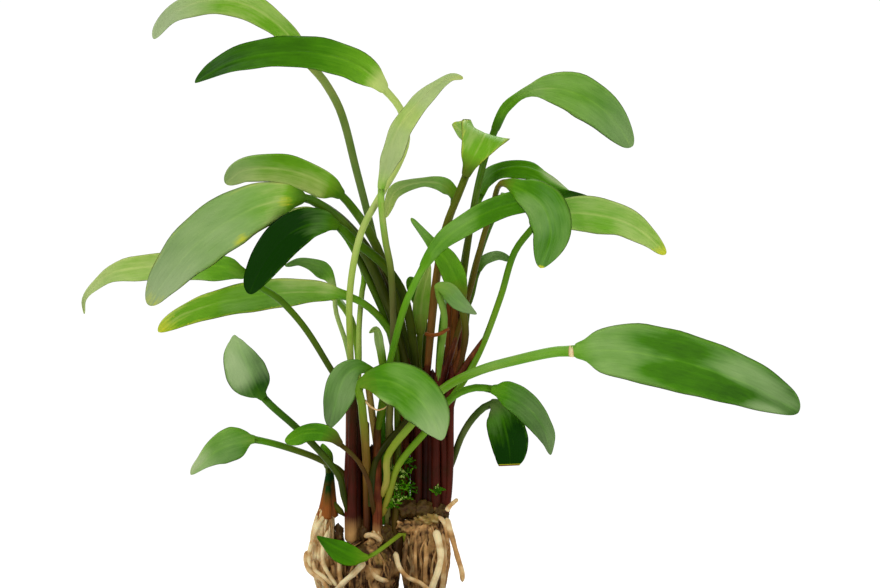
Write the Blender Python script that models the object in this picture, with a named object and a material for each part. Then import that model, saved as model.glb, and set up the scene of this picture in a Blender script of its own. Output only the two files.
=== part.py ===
"""A potted cryptocoryne: a bushy water plant in a small plain pot.

Each leaf is one solid, a round stalk that flattens into a thin blade. The leaves rise from four sheathed
shoots. The shoots stand on three crowns of matted roots above the growing medium that fills the pot.
The origin is the centre of the pot's underside, +Z is up and the plant's front faces -Y.
"""

import math
from collections import namedtuple

import bmesh
import bpy
from mathutils import Vector

MM = 0.001

# Pot, in millimetres
POT_HEIGHT = 50.0
POT_RIM_DIAMETER = 56.0
POT_TOP_DIAMETER = 52.0
POT_BASE_DIAMETER = 38.0
POT_WALL = 1.3
POT_FLOOR = 1.6
RIM_HEIGHT = 3.5
POT_SIDES = 32
POT_CORNER = 1.2
RIM_UNDER_CORNER = 0.4
RIM_OUTER_CORNER = 0.7
RIM_INNER_CORNER = 0.5
POT_SHARP_ANGLE = 35

# Growing medium
MEDIUM_TOP = 48.6
MEDIUM_SWELL = 0.9
MEDIUM_SIDES = 24
MEDIUM_FIT = 0.985
# The swelling top: shares of the medium's radius, and how far the first lies below the top
MEDIUM_SHOULDER = 0.82
MEDIUM_SHOULDER_DROP = 0.3
MEDIUM_CREST = 0.45

# Gap kept between pieces that touch
GAP = 0.35

# The viewing point that leaves, shoots and roots are laid out from, as seen from the front
VIEW_X = 17.6
VIEW_Z = 147.9
VIEW_DISTANCE = 900.0

# Leaves
STALK_WIDTH = 2.5
FOOT_WIDTH = 1.9
MIDRIB_THICKNESS = 0.9
TIP_THINNING = 0.6
NECK_THICKNESS = 0.8
TIP_WIDTH = 0.5
STALK_STEP = 16.0
FEWEST_STALK_RINGS = 4
PATH_STEPS = 8
BLADE_STATIONS = (0.0, 0.09, 0.24, 0.42, 0.62, 0.81, 0.94, 1.0)
BLADE_SWELL = 0.82
BLADE_FULLNESS = 0.75
NECK = 0.16
SHOULDER = 0.45
RING_SIDES = 6
PLANT_SHARP_ANGLE = 50

# Shoots, narrowest halfway up, with a groove between each two sheaths
SHOOT_SIDES = 10
SHOOT_LEVELS = 5
SHOOT_WAIST = 0.12
SHEATH_GROOVE = 0.93

# Crowns, as shares of their half width: swelling halfway up, lumpy and lobed, and narrower at the top
CROWN_SIDES = 14
CROWN_LEVELS = 6
CROWN_GIRTH = 0.80
CROWN_SWELL = 0.20
CROWN_SWELL_START = 0.15
CROWN_SWELL_SPAN = 0.75
CROWN_LUMP = 0.03
CROWN_LUMP_TURNS = 7
CROWN_LOBE = 0.06
CROWN_LOBE_TURNS = 3
CROWN_TOP = 0.84

# Roots
ROOT_STEP = 6.0
FEWEST_ROOT_RINGS = 3

Leaf = namedtuple("Leaf", "stalk blade width turn cup side tint", defaults=(25, 0.12, None, "leaf_mid"))
Shoot = namedtuple("Shoot", "x y half_width half_depth bottom top lean")
Crown = namedtuple("Crown", "x y half_width half_depth bottom top lobes foot neck lean")
Root = namedtuple("Root", "route width end_width")

# Each point is (across, height, depth) in millimetres: where it appears from the front, measured in the
# plane of the pot's axis, and how far it lies behind that plane. The stalk runs from its foot to the blade,
# and the blade from its base to its tip. The turn swings the blade's upper edge away from the front.
LEAVES = {
    "leaf_top_left": Leaf(
        stalk=[(10.2, 114.5, 7.4), (6, 131, 12), (-0.6, 153, 13), (-4.9, 171, 13), (-9.3, 188, 11),
               (-14, 205.8, 10), (-19.2, 215.6, 9)],
        blade=[(-24.6, 222, 8), (-29.8, 229.4, 7), (-35.2, 234.9, 6), (-43, 239.9, 5), (-51.8, 242.2, 4),
               (-61, 241, 3), (-69, 237, 2), (-74, 229.5, 1)],
        width=10.5, tint="leaf_light"),
    "leaf_top_arching": Leaf(
        stalk=[(-10.3, 114.5, -2.9), (-11, 127, -6), (-11.2, 149, -8), (-7.8, 167, -8.8),
               (-1, 180.2, 2.6), (4.2, 189.3, 1.8), (6.9, 197.6, -2.4), (5.2, 206.5, -5)],
        blade=[(0, 213.2, -7), (-8.6, 220.6, -9), (-17.6, 223.8, -11), (-27.2, 225, -13),
               (-39.4, 224.4, -14), (-50.2, 221.5, -14), (-60.8, 215.4, -13)],
        width=10.5, tint="leaf_mid"),
    "leaf_top_folded": Leaf(
        stalk=[(-2.4, 104.5, -0.4), (1, 120, -1.8), (2.6, 134, -3.4), (1.9, 155.6, -7.5), (0.3, 164, -7),
               (-0.9, 173.2, -4.4)],
        blade=[(-1.2, 181.6, -3.8), (0.4, 189.2, -7.2), (1.7, 194.4, -12), (4.2, 200.8, -16),
               (9.1, 207.4, -19), (15, 213.8, -20), (20.8, 217.4, -20), (25, 217, -19)],
        width=9.5, turn=15, cup=0.35, tint="leaf_light"),
    "leaf_upper_left": Leaf(
        stalk=[(10.2, 114.5, 4.6), (5.6, 130, 8), (2.2, 146, 9), (-1.6, 160.4, 9), (-5.6, 168.6, 9),
               (-9.9, 174.8, 8)],
        blade=[(-13.8, 179.3, 6), (-19.2, 183.1, 5), (-27.2, 186.6, 4), (-36.8, 188.2, 3),
               (-45.4, 187.4, 3), (-51.2, 183.4, 3)],
        width=10.5, tint="leaf_light"),
    "leaf_left_broad": Leaf(
        stalk=[(10.2, 114.5, 1.8), (6.2, 127, 1.8), (2.2, 141.2, 1.5), (-4.8, 158.2, 0.6),
               (-10.2, 166.5, -0.5), (-15, 171.8, -2), (-20.8, 176.4, -4)],
        blade=[(-25.9, 178.6, -7), (-39.4, 176.4, -13), (-52.2, 170, -17), (-62.4, 162, -20),
               (-70.4, 152.4, -22), (-75.8, 144.4, -23)],
        width=16, tint="leaf_mid"),
    "leaf_left_dark": Leaf(
        stalk=[(10.4, 114.5, -1.1), (9.2, 130, -1.6), (6.1, 147, -2.6), (0.6, 156.2, -3.4),
               (-4.2, 160.6, -4), (-9.6, 164.6, -4)],
        blade=[(-15, 169.5, -5), (-23.4, 170.3, -8), (-31, 166.8, -10), (-36.8, 160.4, -12),
               (-41.3, 153, -13), (-43.5, 147.9, -13)],
        width=11.5, tint="leaf_dark"),
    "leaf_far_left": Leaf(
        stalk=[(-11.4, 114.5, -0.4), (-17, 123.3, -3), (-25.6, 137, -4), (-33.9, 146.3, -4),
               (-39.6, 150, -4)],
        blade=[(-44.5, 154, -4), (-51.2, 156.6, -4), (-64, 157.2, -3), (-78.4, 156.4, -2), (-88, 154.6, -1),
               (-93.4, 150.2, 0), (-96.4, 146, 1), (-96.3, 141.5, 1)],
        width=9.5, tint="leaf_mid"),
    "leaf_left_yellow_edged": Leaf(
        stalk=[(3, 70.6, -3.2), (4, 90, -2), (4, 110, 0), (3.8, 126, 0.4), (2, 134.8, 0.4),
               (-3.8, 142.5, 1)],
        blade=[(-11.4, 147, 3.4), (-24, 148.6, 4), (-40, 147.6, 4), (-54.4, 144.7, 4), (-65, 141.2, 3),
               (-72.6, 135.8, 2)],
        width=9.8, tint="leaf_mid"),
    "leaf_left_small": Leaf(
        stalk=[(-11.2, 114.5, 1.9), (-10.9, 123.6, 4), (-12.6, 132.6, 7.4), (-15.7, 142.2, 9)],
        blade=[(-16.3, 149.5, 9.6), (-17.6, 154, 9.6), (-21.4, 156.9, 9), (-27.2, 158.2, 8),
               (-32, 156.9, 7)],
        width=6.5, turn=45, tint="leaf_mid"),
    "leaf_left_inner": Leaf(
        stalk=[(-8.8, 114.5, -0.4), (-8.3, 126.5, 1), (-8.3, 137, 5), (-7.4, 148.2, 7.6), (-6.7, 154, 7.4),
               (-9.3, 160.4, 6), (-12.8, 166.4, 4.6)],
        blade=[(-17, 170.8, 3.6), (-24, 173.8, 2.6), (-28.8, 174, 1.6), (-33.6, 172.8, 1)],
        width=7.5, turn=40, tint="leaf_light"),
    "leaf_middle_arch": Leaf(
        stalk=[(12.9, 114.5, 3.1), (14.9, 136.4, 5), (17.6, 160, 5), (20.2, 171, 5.4)],
        blade=[(22.4, 178.6, 6), (19.8, 182.3, 7), (14.4, 183.8, 8), (8, 183, 8), (2.8, 180.2, 8),
               (0.2, 172.4, 8)],
        width=7.5, turn=55, tint="leaf_light"),
    "leaf_bent_back": Leaf(
        stalk=[(13, 114.5, 0.2), (14.1, 131.6, 0), (16, 150.8, -0.5), (19.2, 168.4, -1), (23.2, 179, -4)],
        blade=[(25.9, 185.7, -6), (28.2, 191, -8), (31, 196.8, -8), (32, 199.4, -4), (30.4, 198.8, 1),
               (27, 198.4, 6), (21.6, 202.4, 10)],
        width=17, turn=0, side=(0.93, 0.0, -0.37), tint="leaf_light"),
    "leaf_top_right": Leaf(
        stalk=[(19, 112.5, 4.4), (23.4, 137, 8), (25.6, 157.2, 9.6), (28.8, 178, 13), (32.2, 192.2, 17)],
        blade=[(35.2, 200.4, 17), (38.6, 207.2, 15), (45.4, 212.6, 11), (55.4, 213.6, 6), (65.6, 210, 1),
               (73.3, 203.6, -3), (79, 195, -5)],
        width=15.8, tint="leaf_mid"),
    "leaf_right_underside": Leaf(
        stalk=[(19, 113, 7.2), (22, 131.6, 12), (24.9, 156, 15), (27.9, 171.6, 18)],
        blade=[(30.7, 179.6, 21), (34.9, 186, 22), (40.6, 188.2, 22), (47, 187.6, 21), (52.8, 184.6, 20),
               (59.8, 179.9, 18)],
        width=8.5, turn=-50, tint="leaf_dark"),
    "leaf_right_long": Leaf(
        stalk=[(-2.4, 104.5, -2.8), (0.4, 121, -4.6), (2.9, 131.6, -7.4), (6.4, 144.2, -9)],
        blade=[(12.2, 156.4, -9), (17.6, 164.2, -10), (25.6, 170.3, -10.4), (36.8, 175.8, -8),
               (48, 178, -5.4), (57.6, 179, -3), (65.6, 178.6, -1)],
        width=10.2, turn=15, tint="leaf_mid"),
    "leaf_right_hanging": Leaf(
        stalk=[(16.6, 112.5, 0.8), (22.8, 134, 4), (27.5, 150.2, 4), (31, 164.6, 2.4), (34.2, 174.8, -1)],
        blade=[(37, 183.2, -8), (44.8, 180.6, -18), (51, 175.2, -24), (53.1, 166.8, -28),
               (49.9, 156.2, -30)],
        width=14.5, turn=15, cup=-0.15, tint="leaf_light"),
    "leaf_right_outer": Leaf(
        stalk=[(19.2, 112.5, -1.2), (24.6, 119, -2), (30.7, 130.3, 0), (37.1, 147.3, 0), (41.3, 161, -3),
               (46.7, 168.4, -6)],
        blade=[(51.2, 172.6, -9), (58.6, 173.8, -12), (67.2, 173.4, -13), (76.8, 171, -13),
               (84.2, 166.5, -12), (89.9, 160.7, -11)],
        width=11.6, tint="leaf_light"),
    "leaf_far_right": Leaf(
        stalk=[(0.6, 88.5, -7.4), (0.8, 96, -9), (8.6, 106.3, -10), (18.2, 117.2, -11), (29.8, 123.3, -11),
               (42.2, 126.8, -12), (54.4, 129.4, -13)],
        blade=[(60.8, 129.6, -14), (75.2, 129.8, -16), (88, 127.8, -18), (100.8, 124.6, -20),
               (115.2, 119.4, -22), (132.5, 110.2, -24)],
        width=21.5, tint="leaf_mid"),
    "leaf_lower_right": Leaf(
        stalk=[(1, 82.6, -5.4), (4.2, 93, -7.4), (13.4, 104.4, -8), (21, 114.4, -6.8), (28, 117.8, -6.4)],
        blade=[(34.2, 117.4, -7.4), (40, 115, -10), (46.4, 110.8, -13), (51.2, 104.4, -15),
               (53.1, 96.4, -16)],
        width=10, tint="leaf_mid"),
    "leaf_torn": Leaf(
        stalk=[(21.8, 95, 0.4), (24.7, 102.8, 1), (29, 109.2, 0)],
        blade=[(33.8, 112.6, -1.6), (36.8, 110, -2), (38.9, 102.8, -3), (39.8, 97.5, -3.5), (40, 92.9, -4)],
        width=12.4, turn=10, tint="leaf_dark"),
    "leaf_front_centre": Leaf(
        stalk=[(-5.8, 70.2, -3.4), (-5.8, 88, -4), (-6.2, 99, -7.4), (-7.4, 112.4, -13)],
        blade=[(-8, 118.8, -17), (0, 120.2, -21), (7.6, 117, -25), (13.8, 110.8, -28), (18.4, 101.2, -30)],
        width=16, cup=-0.2, tint="leaf_light"),
    "leaf_front_drooping": Leaf(
        stalk=[(-2.4, 104.5, -5.2), (-0.6, 112, -8), (0.2, 119.6, -9.6)],
        blade=[(-3.5, 122.8, -10.4), (-8.6, 124.4, -12), (-12.5, 122, -13), (-15, 116.6, -14),
               (-17.6, 105, -15)],
        width=11, turn=10, tint="leaf_dark"),
    "leaf_lower_left_upright": Leaf(
        stalk=[(-13.2, 83.3, -2.6), (-14.4, 89, -5), (-19.5, 96, -8), (-28.2, 105, -10)],
        blade=[(-38.7, 114.6, -10), (-42.2, 121, -11), (-45.4, 127.8, -12), (-48.3, 134.8, -13)],
        width=13.4, turn=20, tint="leaf_mid"),
    "leaf_lower_left": Leaf(
        stalk=[(-13.4, 90.4, 0.6), (-18, 93.5, -2), (-25.9, 97, -4)],
        blade=[(-41.6, 101.3, -4), (-48, 100.2, -5), (-54.4, 97.4, -6), (-59.2, 93.2, -6), (-62.1, 90, -6)],
        width=10.6, tint="leaf_mid"),
    "leaf_lower_left_small": Leaf(
        stalk=[(-4.2, 82, -7.4), (-5.2, 87.6, -9), (-8.6, 94.4, -9.8)],
        blade=[(-14.1, 99.6, -11.4), (-19.2, 103.1, -13.6), (-25.6, 103.4, -15.2), (-32, 100.6, -16)],
        width=6.8, turn=35, tint="leaf_light"),
    "leaf_at_roots": Leaf(
        stalk=[(6, 71.4, -7), (1.3, 68.2, -12.4)],
        blade=[(-5.4, 63.8, -14.6), (-11.2, 64.7, -15.6), (-16, 67, -16), (-21.8, 70.5, -16)],
        width=7.4, turn=15, tint="leaf_dark"),
    "leaf_middle_narrow": Leaf(
        stalk=[(19.2, 113, 1.4), (23, 123, 0), (25.8, 134.8, -2.4)],
        blade=[(24.3, 145.4, -4.4), (22.7, 152.4, -5), (19.5, 158.8, -5.2), (14.4, 164.9, -4.8),
               (8.3, 172.2, -4)],
        width=8, turn=5, tint="leaf_light"),
    "leaf_middle_drooping": Leaf(
        stalk=[(16.4, 112.5, -1.8), (17.6, 127, -4), (19, 140.5, -6)],
        blade=[(17, 149.6, -9.4), (20, 149, -10.8), (24, 145.2, -10.4), (29.4, 141.5, -10)],
        width=6, turn=15, tint="leaf_light"),
    "leaf_middle_upright": Leaf(
        stalk=[(12.4, 114.9, 5.9), (10.8, 125, 8.2)],
        blade=[(11.2, 134.8, 10), (11.8, 146, 11), (14.4, 157.5, 11)],
        width=6, turn=10, tint="leaf_light"),
    "leaf_middle_hidden": Leaf(
        stalk=[(12.4, 114.5, 8.5), (12.6, 130, 13)],
        blade=[(12.4, 141, 15), (10, 148.4, 15.4), (7.7, 153.4, 15)],
        width=5, turn=20, tint="leaf_light"),
    "leaf_small_arch": Leaf(
        stalk=[(16.6, 113.2, 6.6), (17.2, 121, 11.5), (21.4, 134, 17.5), (27.2, 146, 19)],
        blade=[(29.6, 155.4, 19), (32, 158.8, 18), (36.2, 160.4, 16), (40.6, 158.6, 14)],
        width=5.5, turn=55, tint="leaf_dark"),
    "leaf_thin_young": Leaf(
        stalk=[(3, 70.6, 0.6), (2, 100, 3.2), (0, 120, 4)],
        blade=[(-0.6, 124.9, 4.6), (-1.6, 131.6, 5), (-2.8, 136.6, 5.4), (-5.1, 135.4, 5.4)],
        width=3.2, turn=20, tint="leaf_light"),
    "leaf_plantlet": Leaf(
        stalk=[(-18.2, 83.4, 1.4), (-18, 88, 1.4)],
        blade=[(-18, 92.2, 1.6), (-18.8, 96.4, 1.2), (-20.2, 100, 0.6)],
        width=4, turn=10, tint="leaf_light"),
    "leaf_back_middle": Leaf(
        stalk=[(16.6, 112.5, 3.6), (17.6, 131, 12), (19, 143, 18)],
        blade=[(19.8, 146.6, 26), (20.2, 147.4, 42), (20.4, 146.4, 60), (20.6, 142.6, 80)],
        width=14, turn=0, side=(1.0, 0.0, 0.0), tint="leaf_mid"),
    "leaf_back_left": Leaf(
        stalk=[(-8.9, 115, 2), (-8.6, 128, 8.6), (-11, 140, 16)],
        blade=[(-16, 146.6, 26), (-22, 148.4, 42), (-27, 147.6, 60), (-31, 143.4, 78)],
        width=13, turn=0, side=(0.96, 0.28, 0.0), tint="leaf_mid"),
    "leaf_back_low": Leaf(
        stalk=[(6.9, 77.8, 5.4), (7, 92, 7.4), (6.8, 105, 11), (7.4, 112, 18)],
        blade=[(9, 116, 28), (7.4, 117.6, 40), (6.4, 114, 54), (5.8, 106.4, 66)],
        width=12, turn=0, side=(1.0, 0.0, 0.0), tint="leaf_dark"),
    "leaf_back_right": Leaf(
        stalk=[(20, 97, 9.4), (20.5, 109, 12.6), (23.8, 122, 17), (27.4, 150, 23), (33, 169, 28)],
        blade=[(38.2, 177.6, 35), (44.4, 179.6, 48), (49, 176.6, 60), (51.4, 167, 71)],
        width=13, turn=0, side=(0.94, -0.34, 0.0), tint="leaf_mid"),
    "leaf_back_upper_left": Leaf(
        stalk=[(0.5, 69.9, 3.2), (3.6, 84, 5.4), (4.6, 104, 8), (3.6, 130, 15), (-3, 158, 21),
               (-12, 170.4, 25)],
        blade=[(-21.6, 177.2, 31), (-32, 179.4, 45), (-40, 177, 60), (-46, 170, 74)],
        width=14, turn=0, side=(0.9, 0.44, 0.0), tint="leaf_mid"),
}

SHOOTS = {
    "shoot_left": Shoot(-10.0, 0.0, 2.5, 4.2, 69.4, 114.0, 0.2),
    "shoot_centre": Shoot(-2.4, -2.4, 1.8, 4.6, 69.4, 104.0, 0.0),
    "shoot_right": Shoot(11.6, 3.2, 2.9, 6.0, 77.4, 114.0, -0.2),
    "shoot_far_right": Shoot(18.0, 3.2, 2.9, 6.0, 77.4, 112.0, 0.2),
}

CROWNS = {
    "crown_left": Crown(-20.2, 1.5, 5.5, 7.0, 49.9, 82.6, 3, 0.45, 0.32, 2.3),
    "crown_centre": Crown(-4.6, -1.6, 8.4, 8.6, 49.9, 69.0, 5, 1.0, 1.0, 0.0),
    "crown_right": Crown(12.6, 2.4, 7.6, 8.2, 49.9, 77.0, 4, 0.85, 1.0, 0.0),
}

ROOTS = {
    "root_front_left": Root(
        [(-6.4, 62.4, -11.8), (-9.6, 58.8, -12.4), (-12.6, 56.2, -12), (-17, 51.4, -9)],
        2.1, 1.7),
    "root_front_right": Root(
        [(3.2, 65.6, -9.8), (4.6, 60.4, -10), (7.4, 57.2, -11), (11.6, 55.2, -12), (15.2, 51.6, -11)],
        1.7, 1.4),
    "root_right_pale": Root(
        [(16.2, 72.6, -7), (17.8, 65, -8.4), (17.2, 60.2, -8.8), (15.4, 55, -9), (14.2, 51.4, -8)],
        2.3, 1.9),
    "root_right_loose": Root(
        [(19.6, 76.4, -3.6), (21.4, 70.4, -6), (23.2, 63.8, -7.4), (24.6, 59, -8), (24.8, 55.6, -8)],
        1.9, 1.5),
    "root_stub": Root([(19.6, 78.4, -4.4), (20.9, 80.2, -5.4), (23.4, 82.4, -6.4)], 1.7, 1.2),
    "root_left_outer": Root(
        [(-24.6, 66, -4.6), (-25.2, 62.6, -4.8), (-23.8, 59, -5.6), (-20, 56.4, -7), (-17.8, 51.8, -7.4)],
        1.9, 1.5),
}

COLOURS = {
    "leaf_light": (0.190, 0.380, 0.045),
    "leaf_mid": (0.110, 0.270, 0.045),
    "leaf_dark": (0.035, 0.110, 0.018),
    "sheath": (0.095, 0.028, 0.014),
    "root": (0.520, 0.360, 0.190),
    "pot": (0.018, 0.019, 0.020),
    "medium": (0.120, 0.085, 0.050),
}
ROUGHNESS = {"pot": 0.45, "medium": 0.95, "root": 0.7, "sheath": 0.5}
LEAF_ROUGHNESS = 0.4


def seen_from_front(across, height, depth):
    """The place of a point that appears at (across, height) from the front and lies this far back."""
    reach = 1 + depth / VIEW_DISTANCE
    return Vector((VIEW_X + (across - VIEW_X) * reach, depth, VIEW_Z + (height - VIEW_Z) * reach))


def smooth_path(points):
    """A dense smooth curve through the points."""
    times = [0.0]
    for start, end in zip(points, points[1:]):
        times.append(times[-1] + (end - start).length)
    last = len(points) - 1
    slopes = []
    for i in range(len(points)):
        before, after = max(i - 1, 0), min(i + 1, last)
        slopes.append((points[after] - points[before]) / (times[after] - times[before]))
    path = [points[0].copy()]
    for i in range(last):
        span = times[i + 1] - times[i]
        for step in range(1, PATH_STEPS + 1):
            t = step / PATH_STEPS
            path.append(
                points[i] * (2 * t**3 - 3 * t**2 + 1)
                + slopes[i] * (span * (t**3 - 2 * t**2 + t))
                + points[i + 1] * (3 * t**2 - 2 * t**3)
                + slopes[i + 1] * (span * (t**3 - t**2))
            )
    return path


def at_fractions(path, fractions):
    """The points at these fractions of the path's length."""
    lengths = [0.0]
    for start, end in zip(path, path[1:]):
        lengths.append(lengths[-1] + (end - start).length)
    found = []
    for fraction in fractions:
        target = fraction * lengths[-1]
        i = 0
        while i < len(path) - 2 and lengths[i + 1] < target:
            i += 1
        span = lengths[i + 1] - lengths[i]
        found.append(path[i].lerp(path[i + 1], (target - lengths[i]) / span))
    return found


def even_fractions(count):
    return [i / count for i in range(count + 1)]


def path_length(path):
    return sum((end - start).length for start, end in zip(path, path[1:]))


def blade_share(s):
    """The blade's width at this fraction of its length, as a share of its greatest width."""
    return math.sin(math.pi * min(max(s, 0.0), 1.0) ** BLADE_SWELL) ** BLADE_FULLNESS


def smooth_step(t):
    t = min(max(t, 0.0), 1.0)
    return t * t * (3 - 2 * t)


def ring_directions(centres, side, turn):
    """For each centre, the direction across the ring and the direction that its front faces."""
    eye = Vector((VIEW_X, -VIEW_DISTANCE, VIEW_Z))
    found = []
    for i, centre in enumerate(centres):
        tangent = (centres[min(i + 1, len(centres) - 1)] - centres[max(i - 1, 0)]).normalized()
        if side:
            across = Vector(side)
            across = (across - tangent * across.dot(tangent)).normalized()
        else:
            sight = (centre - eye).normalized()
            across = sight.cross(tangent).normalized()
            away = tangent.cross(across)
            across = (across * math.cos(turn) - away * math.sin(turn)).normalized()
        found.append((across, across.cross(tangent).normalized()))
    return found


def solid_from_rings(name, rings, tint):
    """A closed body through rings of equally many points, capped at both ends."""
    mesh = bpy.data.meshes.new(name)
    body = bmesh.new()
    loops = [[body.verts.new(point * MM) for point in ring] for ring in rings]
    for lower, upper in zip(loops, loops[1:]):
        for i, corner in enumerate(lower):
            following = (i + 1) % len(lower)
            body.faces.new((corner, lower[following], upper[following], upper[i]))
    body.faces.new(loops[0][::-1])
    body.faces.new(loops[-1])
    bmesh.ops.recalc_face_normals(body, faces=body.faces)
    body.to_mesh(mesh)
    body.free()
    mesh.shade_smooth()
    mesh.set_sharp_from_angle(angle=math.radians(PLANT_SHARP_ANGLE))
    mesh.materials.append(material(tint))
    part = bpy.data.objects.new(name, mesh)
    bpy.context.scene.collection.objects.link(part)
    return part


def material(tint):
    """The Principled material of this tint, made once."""
    found = bpy.data.materials.get(tint)
    if found:
        return found
    made = bpy.data.materials.new(tint)
    made.use_nodes = True
    shader = made.node_tree.nodes["Principled BSDF"]
    shader.inputs["Base Color"].default_value = (*COLOURS[tint], 1)
    shader.inputs["Roughness"].default_value = ROUGHNESS.get(tint, LEAF_ROUGHNESS)
    shader.inputs["Metallic"].default_value = 0
    return made


def round_ring(centre, across, facing, radius):
    ring = []
    for i in range(RING_SIDES):
        angle = math.pi - 2 * math.pi * i / RING_SIDES
        ring.append(centre + across * (radius * math.cos(angle)) + facing * (radius * math.sin(angle)))
    return ring


def blade_ring(centre, across, facing, half_width, half_thickness, cup):
    """Six points: two at the margins and two at each shoulder, where the blade is thick."""
    ring = []
    for share, rise in ((-1, 0), (-SHOULDER, 1), (SHOULDER, 1), (1, 0), (SHOULDER, -1), (-SHOULDER, -1)):
        lift = half_thickness * rise + cup * half_width * share**2
        ring.append(centre + across * (half_width * share) + facing * lift)
    return ring


def make_leaf(name, leaf):
    """One leaf: a stalk of round rings, then a blade of thin rings that ends in a narrow tip."""
    points = [seen_from_front(*point) for point in leaf.stalk + leaf.blade]
    path = smooth_path(points)
    joint = PATH_STEPS * len(leaf.stalk)
    stalk_path, blade_path = path[: joint + 1], path[joint:]
    count = max(FEWEST_STALK_RINGS, round(path_length(stalk_path) / STALK_STEP))
    stalk_centres = at_fractions(stalk_path, even_fractions(count))
    centres = stalk_centres[:-1] + at_fractions(blade_path, BLADE_STATIONS)
    heads_left = leaf.blade[-1][0] < leaf.blade[0][0]
    turn = math.radians(leaf.turn) * (1 if heads_left else -1)
    directions = ring_directions(centres, leaf.side, turn)
    rings = []
    for i in range(count):
        radius = (FOOT_WIDTH + (STALK_WIDTH - FOOT_WIDTH) * i / count) / 2
        rings.append(round_ring(centres[i], *directions[i], radius))
    for i, s in enumerate(BLADE_STATIONS):
        neck = smooth_step(s / NECK)
        half_width = max(leaf.width * blade_share(s), STALK_WIDTH * (1 - neck), TIP_WIDTH) / 2
        at_neck = STALK_WIDTH * NECK_THICKNESS * (1 - neck)
        half_thickness = (at_neck + MIDRIB_THICKNESS * neck * (1 - TIP_THINNING * s)) / 2
        ring = count + i
        rings.append(
            blade_ring(centres[ring], *directions[ring], half_width, half_thickness, leaf.cup * neck))
    return solid_from_rings(name, rings, leaf.tint)


def make_shoot(name, shoot):
    """A column of leaf sheaths wrapped round each other: an oval stem, ribbed where the sheaths overlap."""
    rings = []
    for level in range(SHOOT_LEVELS + 1):
        t = level / SHOOT_LEVELS
        swell = 1.0 - SHOOT_WAIST * math.sin(math.pi * t)
        ring = []
        for i in range(SHOOT_SIDES):
            angle = 2 * math.pi * i / SHOOT_SIDES
            rib = swell * (1.0 if i % 2 else SHEATH_GROOVE)
            across = shoot.x + shoot.half_width * rib * math.cos(angle) + shoot.lean * (t - 0.5)
            back = shoot.y + shoot.half_depth * rib * math.sin(angle)
            ring.append(Vector((across, back, shoot.bottom + (shoot.top - shoot.bottom) * t)))
        rings.append(ring)
    return solid_from_rings(name, rings, "sheath")


def make_crown(name, crown):
    """A lumpy crown of matted roots: rings that swell and shrink, with lobes round them.

    Foot and neck are its girth at the bottom and top as shares of the middle, and lean is how far its two
    ends stand to the right of its middle."""
    rings = []
    for level in range(CROWN_LEVELS + 1):
        t = level / CROWN_LEVELS
        swell = CROWN_SWELL * math.sin(math.pi * (CROWN_SWELL_START + CROWN_SWELL_SPAN * t))
        girth = CROWN_GIRTH + swell + CROWN_LUMP * math.sin(CROWN_LUMP_TURNS * t + crown.lobes)
        girth *= 1 - (1 - crown.neck) * t**2 - (1 - crown.foot) * (1 - t) ** 2
        if level == CROWN_LEVELS:
            girth *= CROWN_TOP
        middle = crown.x + crown.lean * (2 * t - 1) ** 2
        ring = []
        for i in range(CROWN_SIDES):
            angle = 2 * math.pi * i / CROWN_SIDES
            lobe = girth * (1 + CROWN_LOBE * math.sin(crown.lobes * angle + CROWN_LOBE_TURNS * t))
            across = middle + crown.half_width * lobe * math.cos(angle)
            back = crown.y + crown.half_depth * lobe * math.sin(angle)
            ring.append(Vector((across, back, crown.bottom + (crown.top - crown.bottom) * t)))
        rings.append(ring)
    return solid_from_rings(name, rings, "root")


def make_root(name, root):
    """One thick root, a tapering round strand."""
    path = smooth_path([seen_from_front(*point) for point in root.route])
    count = max(FEWEST_ROOT_RINGS, round(path_length(path) / ROOT_STEP))
    centres = at_fractions(path, even_fractions(count))
    directions = ring_directions(centres, None, 0.0)
    rings = []
    for i, centre in enumerate(centres):
        width = root.width + (root.end_width - root.width) * i / count
        rings.append(round_ring(centre, *directions[i], width / 2))
    return solid_from_rings(name, rings, "root")


def turned_solid(name, profile, sides, tint):
    """A body turned round the Z axis from (radius, height) points that start and end on the axis."""
    mesh = bpy.data.meshes.new(name)
    body = bmesh.new()
    verts = [body.verts.new((radius * MM, 0, height * MM)) for radius, height in profile]
    edges = [body.edges.new(pair) for pair in zip(verts, verts[1:])]
    bmesh.ops.spin(body, geom=verts + edges, axis=(0, 0, 1), cent=(0, 0, 0), steps=sides, angle=2 * math.pi)
    bmesh.ops.remove_doubles(body, verts=body.verts, dist=1e-6)
    bmesh.ops.recalc_face_normals(body, faces=body.faces)
    body.to_mesh(mesh)
    body.free()
    mesh.shade_smooth()
    mesh.set_sharp_from_angle(angle=math.radians(POT_SHARP_ANGLE))
    mesh.materials.append(material(tint))
    part = bpy.data.objects.new(name, mesh)
    bpy.context.scene.collection.objects.link(part)
    return part


def pot_radius(height):
    """The outer radius of the pot's tapering wall at this height."""
    t = height / POT_HEIGHT
    return (POT_BASE_DIAMETER + (POT_TOP_DIAMETER - POT_BASE_DIAMETER) * t) / 2


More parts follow.
